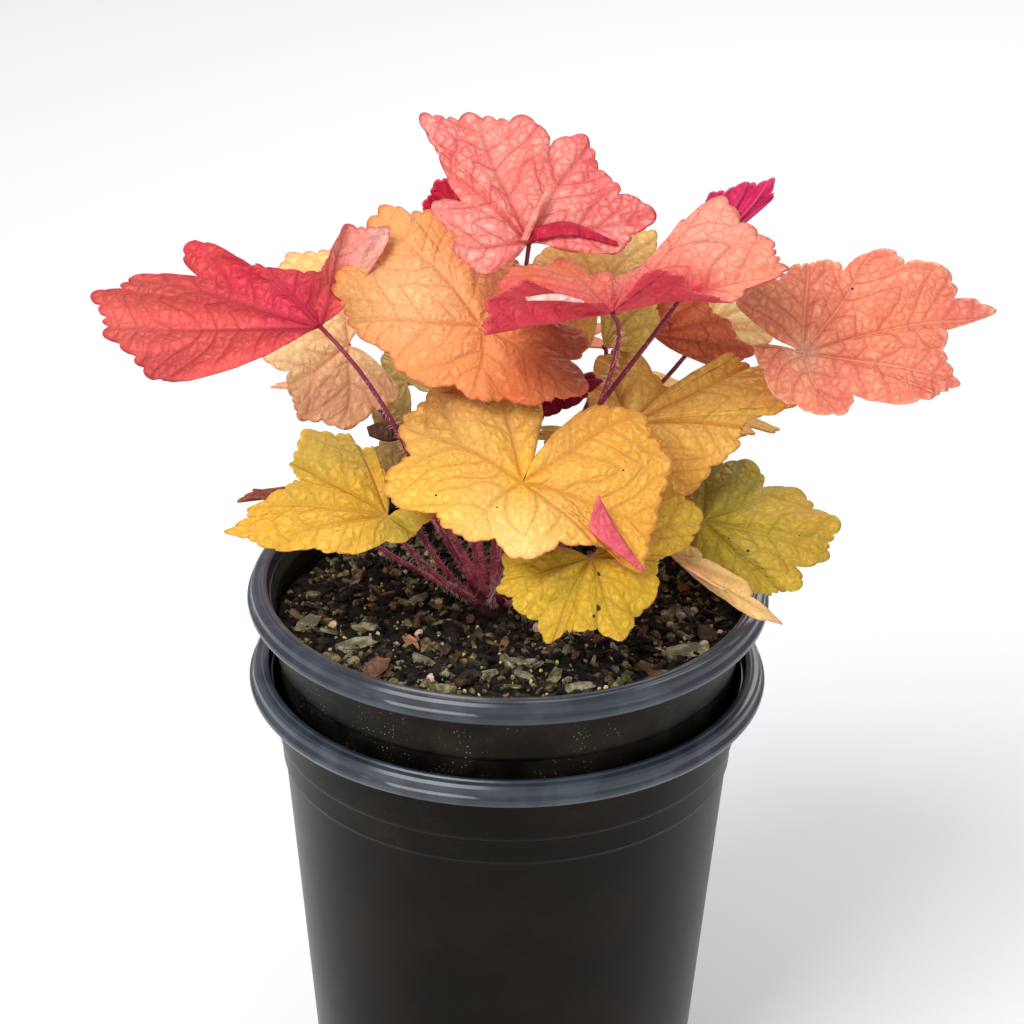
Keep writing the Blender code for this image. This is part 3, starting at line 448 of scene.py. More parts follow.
leaves["far_left_peach"] = dict(
    at=(-46, 72, 226), facing=(124, -14, 6), size=36, stalk=("low", 131), bend=(-8, 0, 0),
    look=dict(base=(240, 170, 112), under=(230, 116, 104), vein=(224, 128, 84), net=(230, 146, 96), patch=(248, 200, 136)),
    tints=[(20, 20, 14, (232, 150, 96)), (-14, 10, 12, (246, 196, 124))] ,
)
leaves["far_middle_orange"] = dict(
    at=(2, 76, 240), facing=(88, -10, -4), size=38, stalk=("low", 85), bend=(0, -8, 0),
    look=dict(base=(238, 148, 88), under=(224, 96, 92), vein=(220, 104, 68), net=(226, 122, 76), patch=(248, 186, 124)),
    tints=[(16, 10, 14, (228, 116, 80)), (-14, 14, 12, (246, 180, 110))] ,
)
leaves["far_right_yellow"] = dict(
    at=(56, 68, 222), facing=(50, -14, 4), size=36, stalk=("low", 35), droop=.4, bend=(8, 0, 0),
    look=dict(base=(232, 172, 72), under=(228, 116, 90), vein=(208, 124, 72), net=(216, 144, 68), patch=(246, 200, 100)),
    tints=[(16, 16, 12, (214, 150, 66)), (-12, 8, 12, (242, 190, 92))] ,
)
leaves["far_low_left_olive"] = dict(
    at=(-18, 60, 214), facing=(110, -12, 0), size=30, stalk=("low", 108),
    look=dict(base=(196, 162, 60), under=(222, 124, 86), vein=(224, 194, 100), net=(168, 134, 46), patch=(216, 184, 76)),
    tints=[(-10, 8, 10, (172, 150, 62))] ,
)
leaves["far_low_right_olive"] = dict(
    at=(30, 62, 212), facing=(74, -12, -5), size=31, stalk=("low", 60),
    look=dict(base=(190, 160, 58), under=(220, 124, 84), vein=(222, 192, 98), net=(162, 132, 46), patch=(212, 182, 74)),
    tints=[(8, 10, 10, (168, 148, 60))] ,
)

lobes = dict(bearings=(-150, -101, -50, 0, 50, 101, 150), reach=(.70, .86, .95, 1.0, .95, .86, .70),
             lift=(.05, 0, 0, -.13, -.02, .01, .05), dip=0.2)


def fromView(points):
    # a step as the camera sees it, turned into the part's own frame
    points = np.asarray(points, float)
    sine, cosine = math.sin(math.radians(leafStyle["tilt"])), math.cos(math.radians(leafStyle["tilt"]))
    across, up, near = points[..., 0], points[..., 1], points[..., 2]
    return np.stack([across, up * sine - near * cosine, up * cosine + near * sine], -1)


def toView(points):
    sine, cosine = math.sin(math.radians(leafStyle["tilt"])), math.cos(math.radians(leafStyle["tilt"]))
    x, y, z = points[..., 0], points[..., 1], points[..., 2]
    return np.stack([x, y * sine + z * cosine, z * sine - y * cosine], -1)


def farPoints(facing, size):
    heading, tilt, roll = (math.radians(angle) for angle in facing)
    along = np.array([math.cos(tilt) * math.cos(heading), math.cos(tilt) * math.sin(heading), math.sin(tilt)])
    level = np.array([math.sin(heading), -math.cos(heading), 0.0])
    upright = np.cross(level, along)
    side = level * math.cos(roll) - upright * math.sin(roll)
    upper = upright * math.cos(roll) + level * math.sin(roll)
    tips = []
    for bearing, reach, lift in zip(lobes["bearings"], lobes["reach"], lobes["lift"]):
        turn = math.radians(bearing)
        tips.append(size * (reach * (side * math.sin(turn) + along * math.cos(turn)) + lift * upper))
    return np.array(tips)


def unitRows(rows):
    return rows / np.maximum(np.linalg.norm(rows, axis=-1, keepdims=True), 1e-9)


def smoothRows(rows, t):
    # cubic through every row at whole numbers of t, without overshoot
    last = len(rows) - 1
    steps = rows[1:] - rows[:-1]
    lengths = np.linalg.norm(steps, axis=1)
    slopes = np.empty_like(rows)
    slopes[0], slopes[-1] = steps[0], steps[-1]
    small = np.minimum(lengths[:-1], lengths[1:]) / (lengths[:-1] + lengths[1:])
    slopes[1:-1] = (steps[:-1] + steps[1:]) * small[:, None]
    t = np.clip(t, 0, last)
    i = np.minimum(t.astype(int), last - 1)
    f = (t - i)[:, None]
    return ((2 * f**3 - 3 * f**2 + 1) * rows[i] + (f**3 - 2 * f**2 + f) * slopes[i]
            + (3 * f**2 - 2 * f**3) * rows[i + 1] + (f**3 - f**2) * slopes[i + 1])


def bladeRays(points, dips, basal, t):
    # direction and length of the lines from the joint to the edge
    last = len(points) - 1
    reach = np.linalg.norm(points, axis=1)
    unit = points / reach[:, None]
    rays = smoothRows(unit, t)
    for end, other, past in ((0, 1, -t), (last, last - 1, t - last)):
        step = unit[end] - unit[other]
        step = step * min(0.9, leafStyle["endSweep"] / np.linalg.norm(step))
        rays = np.where(past[:, None] > 0, unit[end] + step * past[:, None], rays)
    nearest = np.clip(np.round(t), 0, last).astype(int)
    offset = t - nearest
    outer = (t < 0) | (t > last)
    u = np.minimum(np.abs(offset) / np.where(outer, leafStyle["halfFan"], 0.5), 1.0)
    neighbour = np.clip(np.where((offset > 0) | (nearest == 0), nearest + 1, nearest - 1), 0, last)
    tip, span = reach[nearest], reach[neighbour]
    slant = smoothRows(reach[:, None], t)[:, 0]
    cosine = np.clip((unit[nearest] * unit[neighbour]).sum(1), -1, 1)
    middle = 2 * tip * span / (tip + span) * np.sqrt((1 + cosine) / 2)
    dipAt = np.asarray(dips)[np.minimum(np.minimum(nearest, neighbour), last - 1)]
    valley = np.where(outer, tip * basal, middle * (1 - dipAt))
    chord = np.linalg.norm(points[nearest] - points[neighbour], axis=1)
    teeth = np.where(outer, 2, np.maximum(1, np.round(chord / leafStyle["toothWide"])))
    half = np.minimum(nearest, neighbour) + 0.5
    middleReach = np.where(outer, tip, smoothRows(reach[:, None], half)[:, 0])
    length = slant * (1 - (1 - valley / middleReach) * u**leafStyle["lobeRound"])
    scallop = np.abs(np.cos(math.pi * u * teeth))**0.7 - 0.6
    length = length * (1 + leafStyle["tooth"] * scallop * np.minimum((1 - u) * 5, 1)**0.5)
    return unitRows(rays), length, nearest, unit


def readyLeaf(leaf):
    if "facing" in leaf:
        leaf["points"] = farPoints(leaf["facing"], leaf["size"])
        leaf["dips"] = (lobes["dip"],) * (len(lobes["bearings"]) - 1)
    else:
        leaf["points"] = fromView(leaf["outline"])
    unit = unitRows(leaf["points"])
    leaf["normal"] = unitRows(np.cross(unit[1:], unit[:-1]).sum(0))


def bladeGrid(name, leaf):
    # the blade's middle surface as a grid of points, with what the veins and tints need
    last = len(leaf["points"]) - 1
    gaps = leafStyle["columnsPerGap"]
    edge = leafStyle["halfFan"]
    t = np.concatenate([np.linspace(-edge, 0, gaps // 2, endpoint=False),
                        np.linspace(0, last, last * gaps + 1), np.linspace(last, last + edge, gaps // 2 + 1)[1:]])
    share = np.linspace(0, 1, leafStyle["rows"])**0.9
    dips, basal = leaf["dips"], leaf.get("basal", 0.5)
    rays, length, nearest, unit = bladeRays(leaf["points"], dips, basal, t)
    before = bladeRays(leaf["points"], dips, basal, t - 0.06)[0]
    after = bladeRays(leaf["points"], dips, basal, t + 0.06)[0]
    across = unitRows(np.cross(after - before, rays))
    bulge = leaf.get("bulge", 0.05) * 4 * length[:, None] * share * (1 - share)
    lift = 0.6 * leaf["normal"] + 0.4 * across
    grid = rays[:, None] * (length[:, None] * share)[..., None] + bulge[..., None] * lift[:, None]
    # the nearest main vein, and how far along it
    out = length[:, None] * share
    side = np.full(out.shape, 99.0)
    along = np.zeros(out.shape)
    veins = list(range(last + 1)) if last < 7 else list(range(1, last, 2))
    for k in veins:
        sway = k + leafStyle["sway"] * np.sin(4.2 * share + dice.uniform(0, 6.28)) * share
        course = bladeRays(leaf["points"], dips, basal, sway)[0]
        near = np.abs(t - k) < 2.01
        cosine = np.clip(rays @ course.T, -1, 1)
        away = out * np.sqrt(1 - cosine**2)
        better = near[:, None] & (away < side)
        side = np.where(better, away, side)
        along = np.where(better, out * cosine, along)
    # veins sink into the upper face, the blade puffs up between them and its edge waves
    alongStep = np.gradient(grid, axis=0)
    outStep = np.gradient(grid, axis=1)
    normal = unitRows(np.cross(outStep, alongStep))
    normal = np.where((normal @ leaf["normal"])[..., None] < 0, -normal, normal)
    normal[:, :2] = leaf["normal"]
    turn = (along - 0.85 * side) / veinStyle["sideSpacing"]
    puff = np.abs(np.sin(math.pi * turn))**0.7 * np.clip(side / 4, 0, 1) * (1 - share**5)
    groove = np.exp(-(side / 1.1)**2) * (1 - 0.7 * share) * np.clip(out / 4, 0, 1)
    phase = dice.uniform(0, 6.28)
    wave = np.sin(t * 2.6 + phase) + 0.6 * np.sin(t * 5.9 + 2 * phase) + 0.25 * np.sin(t * 13.0 + 3 * phase)
    course = np.interp(t, [veins[0] - 2, *veins, veins[-1] + 2], np.arange(-1, len(veins) + 1))
    between = (np.sin(math.pi * (course - np.round(course)))**2)[:, None]
    small = min(1.0, float(length.max()) / 40.0)
    raised = small * (leafStyle["puff"] * puff - leafStyle["sink"] * groove
                      + leafStyle["fold"] * between * np.sin(math.pi * np.minimum(share * 1.15, 1) * 0.8)
                      + leafStyle["wave"] * wave[:, None] * share**2.5)
    place = np.array(leaf["at"], float) + grid + normal * raised[..., None]
    return place, grid, side, along, share, normal, rays


def paintTint(leaf, grid):
    seen = toView(grid)
    colour = np.ones(seen.shape[:-1] + (4,))
    colour[...] = tone(leaf["look"]["base"])
    # the tints mix in here, with painted shadow among them where a leaf lists it
    for across, up, radius, tint in leaf["tints"]:
        away = ((seen[..., 0] - across)**2 + (seen[..., 1] - up)**2) / radius**2
        weight = (0.9 * np.exp(-away))[..., None]
        colour = colour * (1 - weight) + np.array(tone(tint)) * weight
    return colour


def strandMesh(name, strands, thick, material):
    # many short tapering hairs as one mesh
    curve = bpy.data.curves.new(name, "CURVE")
    curve.dimensions = "3D"
    curve.bevel_depth = thick * mm
    curve.bevel_resolution = 0
    for root, end in strands:
        spline = curve.splines.new("POLY")
        spline.points.add(1)
        for point, spot, radius in zip(spline.points, (root, end), (1.0, 0.35)):
            point.co = (spot[0] * mm, spot[1] * mm, spot[2] * mm, 1.0)
            point.radius = radius
    guide = bpy.data.objects.new(name, curve)
    bpy.context.collection.objects.link(guide)
    pick(guide)
    bpy.ops.object.convert(target="MESH")
    hair = bpy.context.object
    hair.data.materials.clear()
    hair.data.materials.append(material)
    return hair


# Folded edges that show the other face, and dark spots; places as (across, up, near) from the joint
flaps = dict(
    front_gold=[dict(first=[(22.5, -3.5, 7), (28.5, -14, 8), (36.8, -26, 7.5)],
                     second=[(22, -5, 8.5), (20.4, -14.2, 13), (36, -26, 8.5)], curl=0.8,
                     look=dict(base=(232, 92, 108), vein=(206, 60, 84), net=(214, 74, 92), patch=(240, 128, 132)))],
    top_salmon=[dict(first=[(1.5, 4.6, 3), (12, 6.2, 4), (26.5, 0.2, 6)],
                     second=[(1.5, 0.4, 4), (13, 1.8, 6.5), (26.5, -1, 6.5)], curl=0.5,
                     look=dict(base=(186, 26, 58), vein=(150, 16, 44), net=(160, 18, 48), patch=(204, 44, 70))),
                dict(first=[(-2.4, 0.4, 3), (0.4, 8, 2.5), (5, 15.8, 0.5)],
                     second=[(-0.6, 0.2, 3.5), (2.6, 7.4, 3), (5.8, 15.6, 1)], curl=1.1,
                     look=dict(base=(236, 140, 126), vein=(220, 100, 98), net=(226, 116, 110), patch=(244, 172, 154)))],
    high_crimson=[dict(first=[(-26, 3.2, 15), (-17, 4.2, 15.5), (-8.8, 2.4, 13.5)],
                       second=[(-25.4, 2.2, 16), (-17, 2.4, 16.6), (-9, 2.0, 14)], curl=0.9,
                       look=dict(base=(240, 192, 182), vein=(226, 140, 140), net=(230, 150, 148),
                                 patch=(246, 214, 204)))],
    low_dull_olive=[dict(first=[(-9, 13.6, 3), (-3, 15.4, 4), (3, 13.4, 3)],
                         second=[(-8, 10.6, 4), (-2, 9, 6), (4, 10.6, 4)], curl=1.2,
                         look=dict(base=(74, 40, 24), vein=(48, 24, 14), net=(52, 28, 16), patch=(104, 60, 34)))])
spots = dict(right_salmon=[(15.4, 20, 0.55)], right_olive=[(14, -10, 0.6), (8, -6, 0.35), (30, -4, 0.4)],
             front_mustard=[(2.4, -5, 1.0), (1.2, -15, 1.2), (0, -18, 0.6)],
             front_gold=[(-26, -5, 0.4), (-8, -8, 0.35), (30, 4, 0.35)])


def sheet(name, place, facts, colours=None):
    # a grid of points as a mesh, carrying the facts that its material reads
    columns, rows = place.shape[:2]
    deselectAll()
    bpy.ops.mesh.primitive_grid_add(x_subdivisions=columns - 1, y_subdivisions=rows - 1, size=1.0)
    thing = bpy.context.object
    thing.name = name
    mesh = thing.data
    flat = np.empty(len(mesh.vertices) * 3, np.float32)
    mesh.vertices.foreach_get("co", flat)
    flat = flat.reshape(-1, 3)
    i = np.round((flat[:, 0] + 0.5) * (columns - 1)).astype(int)
    j = np.round((flat[:, 1] + 0.5) * (rows - 1)).astype(int)
    mesh.vertices.foreach_set("co", (place[i, j] * mm).astype(np.float32).ravel())
    for title, values in facts.items():
        values = np.broadcast_to(values, (columns, rows))[i, j].astype(np.float32)
        mesh.attributes.new(title, "FLOAT", "POINT").data.foreach_set("value", values)
    if colours is not None:
        tint = mesh.attributes.new("tint", "FLOAT_COLOR", "POINT")
        tint.data.foreach_set("color", colours[i, j].astype(np.float32).ravel())
    mesh.update()
    return thing


def thicken(thing, thick, underSlot):
    layer = thing.modifiers.new("thickness", "SOLIDIFY")
    layer.thickness = thick * mm
    layer.offset = 0.0
    layer.material_offset = layer.material_offset_rim = underSlot
    applyAll(thing)
    bpy.ops.object.shade_smooth()


def makeFlap(name, leaf, flap):
    steps, rows = np.linspace(0, 2, 19), np.linspace(0, 1, 8)
    first, second = (smoothRows(fromView(flap[rail]), steps) for rail in ("first", "second"))
    curl = fromView((0, 0, flap["curl"])) * np.sin(math.pi * rows)[:, None]
    taper = np.sin(math.pi * np.clip(steps / 2, 0.02, 0.98))[:, None, None]
    place = first[:, None] * (1 - rows)[:, None] + second[:, None] * rows[:, None] + curl[None] * taper
    thing = sheet(name, place + np.array(leaf["at"], float),
                  dict(side=6.0, along=(steps * 9)[:, None], share=rows * 0.95))
    thing.data.materials.append(leafMaterial(name, flap["look"], flap["look"]["base"], True))
    thicken(thing, leafStyle["thick"], 0)
    return thing


def makeSpot(place, grid, normal, across, up, size, material):
    seen = toView(grid)
    nearest = np.argmin((seen[..., 0] - across)**2 + (seen[..., 1] - up)**2)
    spot = place.reshape(-1, 3)[nearest]
    facing = Vector(normal.reshape(-1, 3)[nearest])
    if facing.dot(Vector(fromView((0, 0, 1.0)))) < 0:
        facing = -facing
    deselectAll()
    bpy.ops.mesh.primitive_ico_sphere_add(subdivisions=2, radius=1.0)
    thing = bpy.context.object
    for vertex in thing.data.vertices:
        vertex.co *= 1 + 0.35 * noise.noise(vertex.co * 1.5 + Vector((across, up, 0)))
    turn = facing.to_track_quat("Z", "Y").to_matrix().to_4x4()
    lift = Vector(spot) + facing * leafStyle["thick"] * 0.5
    thing.data.transform(Matrix.Scale(mm, 4) @ Matrix.Translation(lift) @ turn
                         @ Matrix.Diagonal((size, size * 0.8, 0.12, 1.0)))
    thing.data.materials.append(material)
    return thing


def makeLeaf(name, leaf, hairMaterial, spotMaterial):
    readyLeaf(leaf)
    place, grid, side, along, share, normal, rays = bladeGrid(name, leaf)
    columns = len(place)
    blade = sheet(name, place, dict(side=side, along=along, share=share), paintTint(leaf, grid))
    mesh = blade.data
    pick(blade)
    bpy.ops.object.mode_set(mode="EDIT")
    bpy.ops.mesh.select_all(action="SELECT")
    bpy.ops.mesh.remove_doubles(threshold=0.000005)
    bpy.ops.object.mode_set(mode="OBJECT")
    facing = sum((face.normal * face.area for face in mesh.polygons), Vector())
    if facing.dot(Vector(leaf["normal"])) < 0:
        bpy.ops.object.mode_set(mode="EDIT")
        bpy.ops.mesh.select_all(action="SELECT")
        bpy.ops.mesh.flip_normals()
        bpy.ops.object.mode_set(mode="OBJECT")
    look = leaf["look"]
    underSeen = leaf.get("shows") == "under"
    upper = leafMaterial(name + "_upper", look, look["other"] if underSeen else None, False)
    under = leafMaterial(name + "_under", look, None if underSeen else look["under"], True)
    mesh.materials.append(upper)
    mesh.materials.append(under)
    thicken(blade, leafStyle["thick"], 1)
    plain = name.removeprefix("leaf_")
    extras = [makeFlap(name + "_flap" + str(k), leaf, flap) for k, flap in enumerate(flaps.get(plain, ()))]
    extras += [makeSpot(place, grid, normal, *spot, spotMaterial) for spot in spots.get(plain, ())]
    if extras:
        joinInto(blade, extras)
    strands = []
    edge = place[:, -1]
    for k in range(0, columns, 2):
        out = unitRows(rays[k] + dice.normal(0, 0.45, 3))
        root = edge[k] - rays[k] * 0.15
        strands.append((root, root + out * leafStyle["hairLong"] * dice.uniform(0.5, 1.1)))
    joinInto(blade, [strandMesh(name + "_fringe", strands, leafStyle["hairThick"], hairMaterial)])
    dress(blade, name)
    return blade


# Stalks: burgundy, thinner towards the blade, with long pale hairs
stalkStyle = dict(radius=0.95, taper=0.66, points=22, hairs=280, hairLong=(0.9, 2.5), hairThick=0.06,
                  crownAt=(-4.0, 8.0), crownMiddle=172.0, crownRadius=11.5, crownHeight=14.5,
                  rings=dict(low=8.2, mid=5.6, top=3.0), gap=0.3, blade=0.7, cadRadius=1.1, cadTaper=0.6)


def stalkPath(leaf):
    style = stalkStyle
    ring, heading = leaf["stalk"]
    reachOut, radius, height = style["rings"][ring], style["crownRadius"], style["crownHeight"]
    rise = height * math.sqrt(1 - (reachOut / radius)**2)
    turn = math.radians(heading)
    out = Vector((math.cos(turn), math.sin(turn), 0.0))
    place = Vector((*style["crownAt"], style["crownMiddle"] + rise)) + out * reachOut
    way = (out * (reachOut / radius**2) + Vector((0, 0, rise / height**2))).normalized()
    normal = Vector(leaf["normal"])
    joint = Vector(leaf["at"])
    start = place + way * style["gap"]
    reach = (joint - start).length
    arrive = (0.55 * normal + 0.45 * (joint - start).normalized()).normalized()
    lean = math.sqrt(max(0.0, 1 - arrive.dot(normal)**2))
    room = style["blade"] / 2 + style["gap"] + style["cadRadius"] * style["cadTaper"] * lean + leaf.get("room", 0.25)
    end = joint - normal * room
    first = start + way * reach * leaf.get("spring", 0.3)
    second = end - arrive * reach * leaf.get("droop", 0.25) + Vector(leaf.get("bend", (0, 0, 0)))
    path = []
    for k in range(style["points"]):
        f = k / (style["points"] - 1)
        path.append((1 - f)**3 * start + 3 * (1 - f)**2 * f * first + 3 * (1 - f) * f**2 * second + f**3 * end)
    path[0] = path[0] - way * 1.5                 # sunk in the crown
    path.append(joint - normal * 0.1)             # runs into the blade
    return path


def makeStalk(name, leaf, material, hairMaterial):
    path = stalkPath(leaf)
    curve = bpy.data.curves.new(name, "CURVE")
    curve.dimensions = "3D"
    curve.bevel_depth = stalkStyle["radius"] * mm
    curve.bevel_resolution = 3
    curve.use_fill_caps = True
    spline = curve.splines.new("POLY")
    spline.points.add(len(path) - 1)
    last = len(path) - 1
    for k, (point, spot) in enumerate(zip(spline.points, path)):
        f = k / last
        point.co = (*(spot * mm), 1.0)
        point.radius = (1 + (stalkStyle["taper"] - 1) * f**1.5) * (1 + 0.35 * max(0.0, 1 - f * 9)) \
            * (1 + 0.3 * max(0.0, f * 12 - 11))
    guide = bpy.data.objects.new(name + "_guide", curve)
    bpy.context.collection.objects.link(guide)
    pick(guide)
    bpy.ops.object.convert(target="MESH")
    stalk = bpy.context.object
    stalk.name = name
    stalk.data.materials.clear()
    stalk.data.materials.append(material)
    bpy.ops.object.mode_set(mode="EDIT")
    bpy.ops.mesh.select_all(action="SELECT")
    bpy.ops.mesh.remove_doubles(threshold=0.000005)
    bpy.ops.object.mode_set(mode="OBJECT")
    bpy.ops.object.shade_smooth()
    strands = []
    for _ in range(stalkStyle["hairs"]):
        f = dice.uniform(0.04, 0.97) * (last - 2)
        k = int(f)
        spot = path[k].lerp(path[k + 1], f - k)
        way = (path[k + 1] - path[k]).normalized()
        aside = way.orthogonal().normalized()
        aside.rotate(Matrix.Rotation(dice.uniform(0, 6.28), 3, way))
        lean = (aside + way * dice.normal(0, 0.35) + Vector((0, 0, -0.15))).normalized()
        size = dice.uniform(*stalkStyle["hairLong"])
        strands.append((spot + aside * 0.6, spot + aside * 0.6 + lean * size))
    joinInto(stalk, [strandMesh(name + "_hairs", strands, stalkStyle["hairThick"], hairMaterial)])
    dress(stalk, name)


def stalkMaterial():
    material, tree, shader = newMaterial("stalkSkin", Roughness=0.45, Specular_IOR_Level=0.4)
    spot = objectSpot(tree)
    streak = addNode(tree, "ShaderNodeTexNoise", {"Vector": spot, "Scale": 220.0, "Detail": 3.0})
    height = addNode(tree, "ShaderNodeSeparateXYZ", {"Vector": spot}).outputs["Z"]
    low = blendColour(tree, ramp(tree, height, 0.19, 0.26), tone((204, 96, 118)), tone((128, 30, 54)))
    colour = blendColour(tree, ramp(tree, streak.outputs["Fac"], 0.45, 0.65, 0.0, 0.6), low, tone((112, 20, 46)))
    tree.links.new(colour, shader.inputs["Base Color"])
    return material


# Crown: a woody knob with dried leaf sheaths round the stalks
crownStyle = dict(segments=40, rings=24, lumps=1.3, sheaths=11, sheathLong=7.0)


def makeCrown(wood, sheathMaterial):
    style = stalkStyle
    deselectAll()
    bpy.ops.mesh.primitive_uv_sphere_add(segments=crownStyle["segments"], ring_count=crownStyle["rings"], radius=1.0)
    crown = bpy.context.object
    crown.name = "crown"
    crown.data.materials.append(wood)
    middle = Vector((*style["crownAt"], style["crownMiddle"]))
    for vertex in crown.data.vertices:
        flat = max(vertex.co.z, -0.45)
        spot = Vector((vertex.co.x, vertex.co.y, flat))
        bump = 1.0 + 0.10 * noise.noise(spot * 2.6) + 0.05 * noise.noise(spot * 7.0)
        spot = Vector((spot.x * style["crownRadius"], spot.y * style["crownRadius"], spot.z * style["crownHeight"]))
        vertex.co = (middle + spot * (bump if flat > -0.44 else 1.0) * 0.97) * mm
    bpy.ops.object.shade_smooth()
    others = []
    for k in range(crownStyle["sheaths"]):
        turn = k * 2.4
        ring = (8.6, 6.4, 4.0)[k % 3]
        bpy.ops.mesh.primitive_cone_add(vertices=9, radius1=2.6, radius2=0.5, depth=crownStyle["sheathLong"],
                                        end_fill_type="TRIFAN")
        sheath = bpy.context.object
        lean = Matrix.Rotation(turn, 4, "Z") @ Matrix.Rotation(0.35 + ring * 0.05, 4, "Y")
        rise = style["crownHeight"] * math.sqrt(1 - (ring / style["crownRadius"])**2)
        spot = middle + Vector((math.cos(turn) * ring, math.sin(turn) * ring, rise + 0.5))
        sheath.data.transform(Matrix.Scale(mm, 4) @ Matrix.Translation(spot) @ lean)
        sheath.data.materials.append(sheathMaterial)
        others.append(sheath)
    joinInto(crown, others)
    dress(crown, "crown")


# Pots: both alike, one nested in the other
pot = dict(height=165.0, wall=1.0, floor=1.6, baseRadius=61.0, topRadius=74.9, rimRadius=83.0, lipRadius=76.3,
           rimDepth=7.4, ridgeDrops=(24.5, 33.3), ridgeSteps=(0.9, 0.7), rise=28.5, sides=160,
           ribs=6, ribWidth=2.4, ribReach=58.6, drains=6, drainRadius=4.5, drainCircle=46.0)


def wallRadius(height):
    below = pot["height"] - pot["ridgeDrops"][1]
    top = pot["topRadius"] - pot["rimDepth"] * 0.06 - sum(pot["ridgeSteps"]) - 1.0
    return pot["baseRadius"] + (top - pot["baseRadius"]) * height / below


def outerWall():
    first, second = (pot["height"] - drop for drop in pot["ridgeDrops"])
    foot = wallRadius(second)
    steps = pot["ridgeSteps"]
    return [(pot["topRadius"], pot["height"] - pot["rimDepth"] - 0.6),
            (foot + sum(steps) + 0.55, first + 1.6), (foot + sum(steps) + 0.5, first + 0.7),
            (foot + sum(steps) + 0.25, first + 0.2), (foot + steps[1] + 0.6, first - 0.4),
            (foot + steps[1] + 0.5, first - 1.3),
            (foot + steps[1] + 0.15, second + 1.3), (foot + steps[1] + 0.1, second + 0.6),
            (foot + steps[1] * 0.6, second + 0.1), (foot + 0.1, second - 0.4), (foot, second - 1.2),
            (wallRadius(90.0), 90.0), (wallRadius(50.0), 50.0), (wallRadius(1.4), 1.4)]


def innerWall():
    inside = [(r - pot["wall"], z) for r, z in reversed(outerWall()[1:-1])]
    return [(wallRadius(pot["floor"]) - pot["wall"], pot["floor"])] + inside + [
        (pot["topRadius"] - pot["wall"] - 0.1, pot["height"] - 9.5), (pot["lipRadius"] - 0.4, pot["height"] - 4.0),
        (pot["lipRadius"], pot["height"] - 1.4), (pot["lipRadius"] + 0.5, pot["height"] - 0.5)]


def rimProfile():
    # rolled rim with a fine groove round its top
    top, outer, low = pot["height"], pot["rimRadius"], pot["height"] - pot["rimDepth"]
    return [(pot["lipRadius"] + 1.6, top - 0.05), (outer - 4.4, top - 0.05), (outer - 3.9, top - 0.5),
            (outer - 3.4, top - 0.4), (outer - 2.2, top - 0.7), (outer - 1.4, top - 1.5), (outer - 1.2, top - 2.4),
            (outer - 1.25, top - 3.6), (outer - 0.9, top - 4.2), (outer - 0.2, top - 4.6), (outer, top - 5.3),
            (outer - 0.2, top - 6.2), (outer - 0.8, low + 0.3), (outer - 1.6, low), (outer - 2.4, low + 0.3),
            (outer - 2.8, low + 1.6), (outer - 3.4, low + 3.4), (pot["topRadius"] + 0.6, low + 3.4)]


def turned(name, profile, sides, material):
    mesh = bpy.data.meshes.new(name)
    mesh.from_pydata([(r * mm, 0.0, z * mm) for r, z in profile], [(i, i + 1) for i in range(len(profile) - 1)], [])
    thing = bpy.data.objects.new(name, mesh)
    bpy.context.collection.objects.link(thing)
    mesh.materials.append(material)
    screw = thing.modifiers.new("turn", "SCREW")
    screw.steps = screw.render_steps = sides
    screw.use_merge_vertices = True
    screw.merge_threshold = 0.00001
    applyAll(thing)
    return thing


def makePot(name, rise, material):
    foot = [(wallRadius(0.0) - 0.3, 0.35), (wallRadius(0.0) - 0.8, 0.0), (54.0, 0.0), (52.0, 0.9), (40.0, 0.9),
            (38.0, 0.0), (0.0, 0.0), (0.0, pot["floor"])]
    profile = rimProfile() + outerWall() + foot + innerWall()
    profile.append(profile[0])
    body = turned(name, profile, pot["sides"], material)
    cutters = []
    for k in range(pot["drains"]):
        angle = 2 * math.pi * k / pot["drains"]
        deselectAll()
        bpy.ops.mesh.primitive_cylinder_add(vertices=24, radius=pot["drainRadius"] * mm, depth=0.01,
                                            location=(math.cos(angle) * pot["drainCircle"] * mm,
                                                      math.sin(angle) * pot["drainCircle"] * mm, 0.0))
        cutters.append((bpy.context.object, "DIFFERENCE"))
    depth = wallRadius(1.0) - pot["wall"] * 0.5 - pot["ribReach"]
    tall = pot["rise"] - 0.3 - pot["floor"] * 0.5
    for k in range(pot["ribs"]):
        deselectAll()
        bpy.ops.mesh.primitive_cube_add(size=1.0)
        rib = bpy.context.object
        place = Matrix.Translation(((pot["ribReach"] + depth / 2) * mm, 0, (pot["floor"] * 0.5 + tall / 2) * mm))
        rib.data.transform(Matrix.Rotation(2 * math.pi * (k + 0.5) / pot["ribs"], 4, "Z") @ place
                           @ Matrix.Diagonal((depth * mm, pot["ribWidth"] * mm, tall * mm, 1.0)))
        cutters.append((rib, "UNION"))
    for cutter, operation in cutters:
        boolean = body.modifiers.new(cutter.name, "BOOLEAN")
        boolean.operation = operation
        boolean.solver = "EXACT"
        boolean.object = cutter
    applyAll(body)
    for cutter, _ in cutters:
        bpy.data.objects.remove(cutter, do_unlink=True)
    pick(body)
    bpy.ops.object.shade_smooth_by_angle(angle=math.radians(30))
    body.data.transform(Matrix.Translation((0, 0, rise * mm)))
    dress(body, name)


# rim and rimWorn are painted sheen: blue-grey colours on the black rim for the light its top reflects
potFinish = dict(black=(9, 8, 6), brown=(20, 15, 10), rim=(42, 48, 58), rimWorn=(60, 67, 77), dustColour=(168, 158, 140),
                 wallRough=0.26, rimRough=0.32)


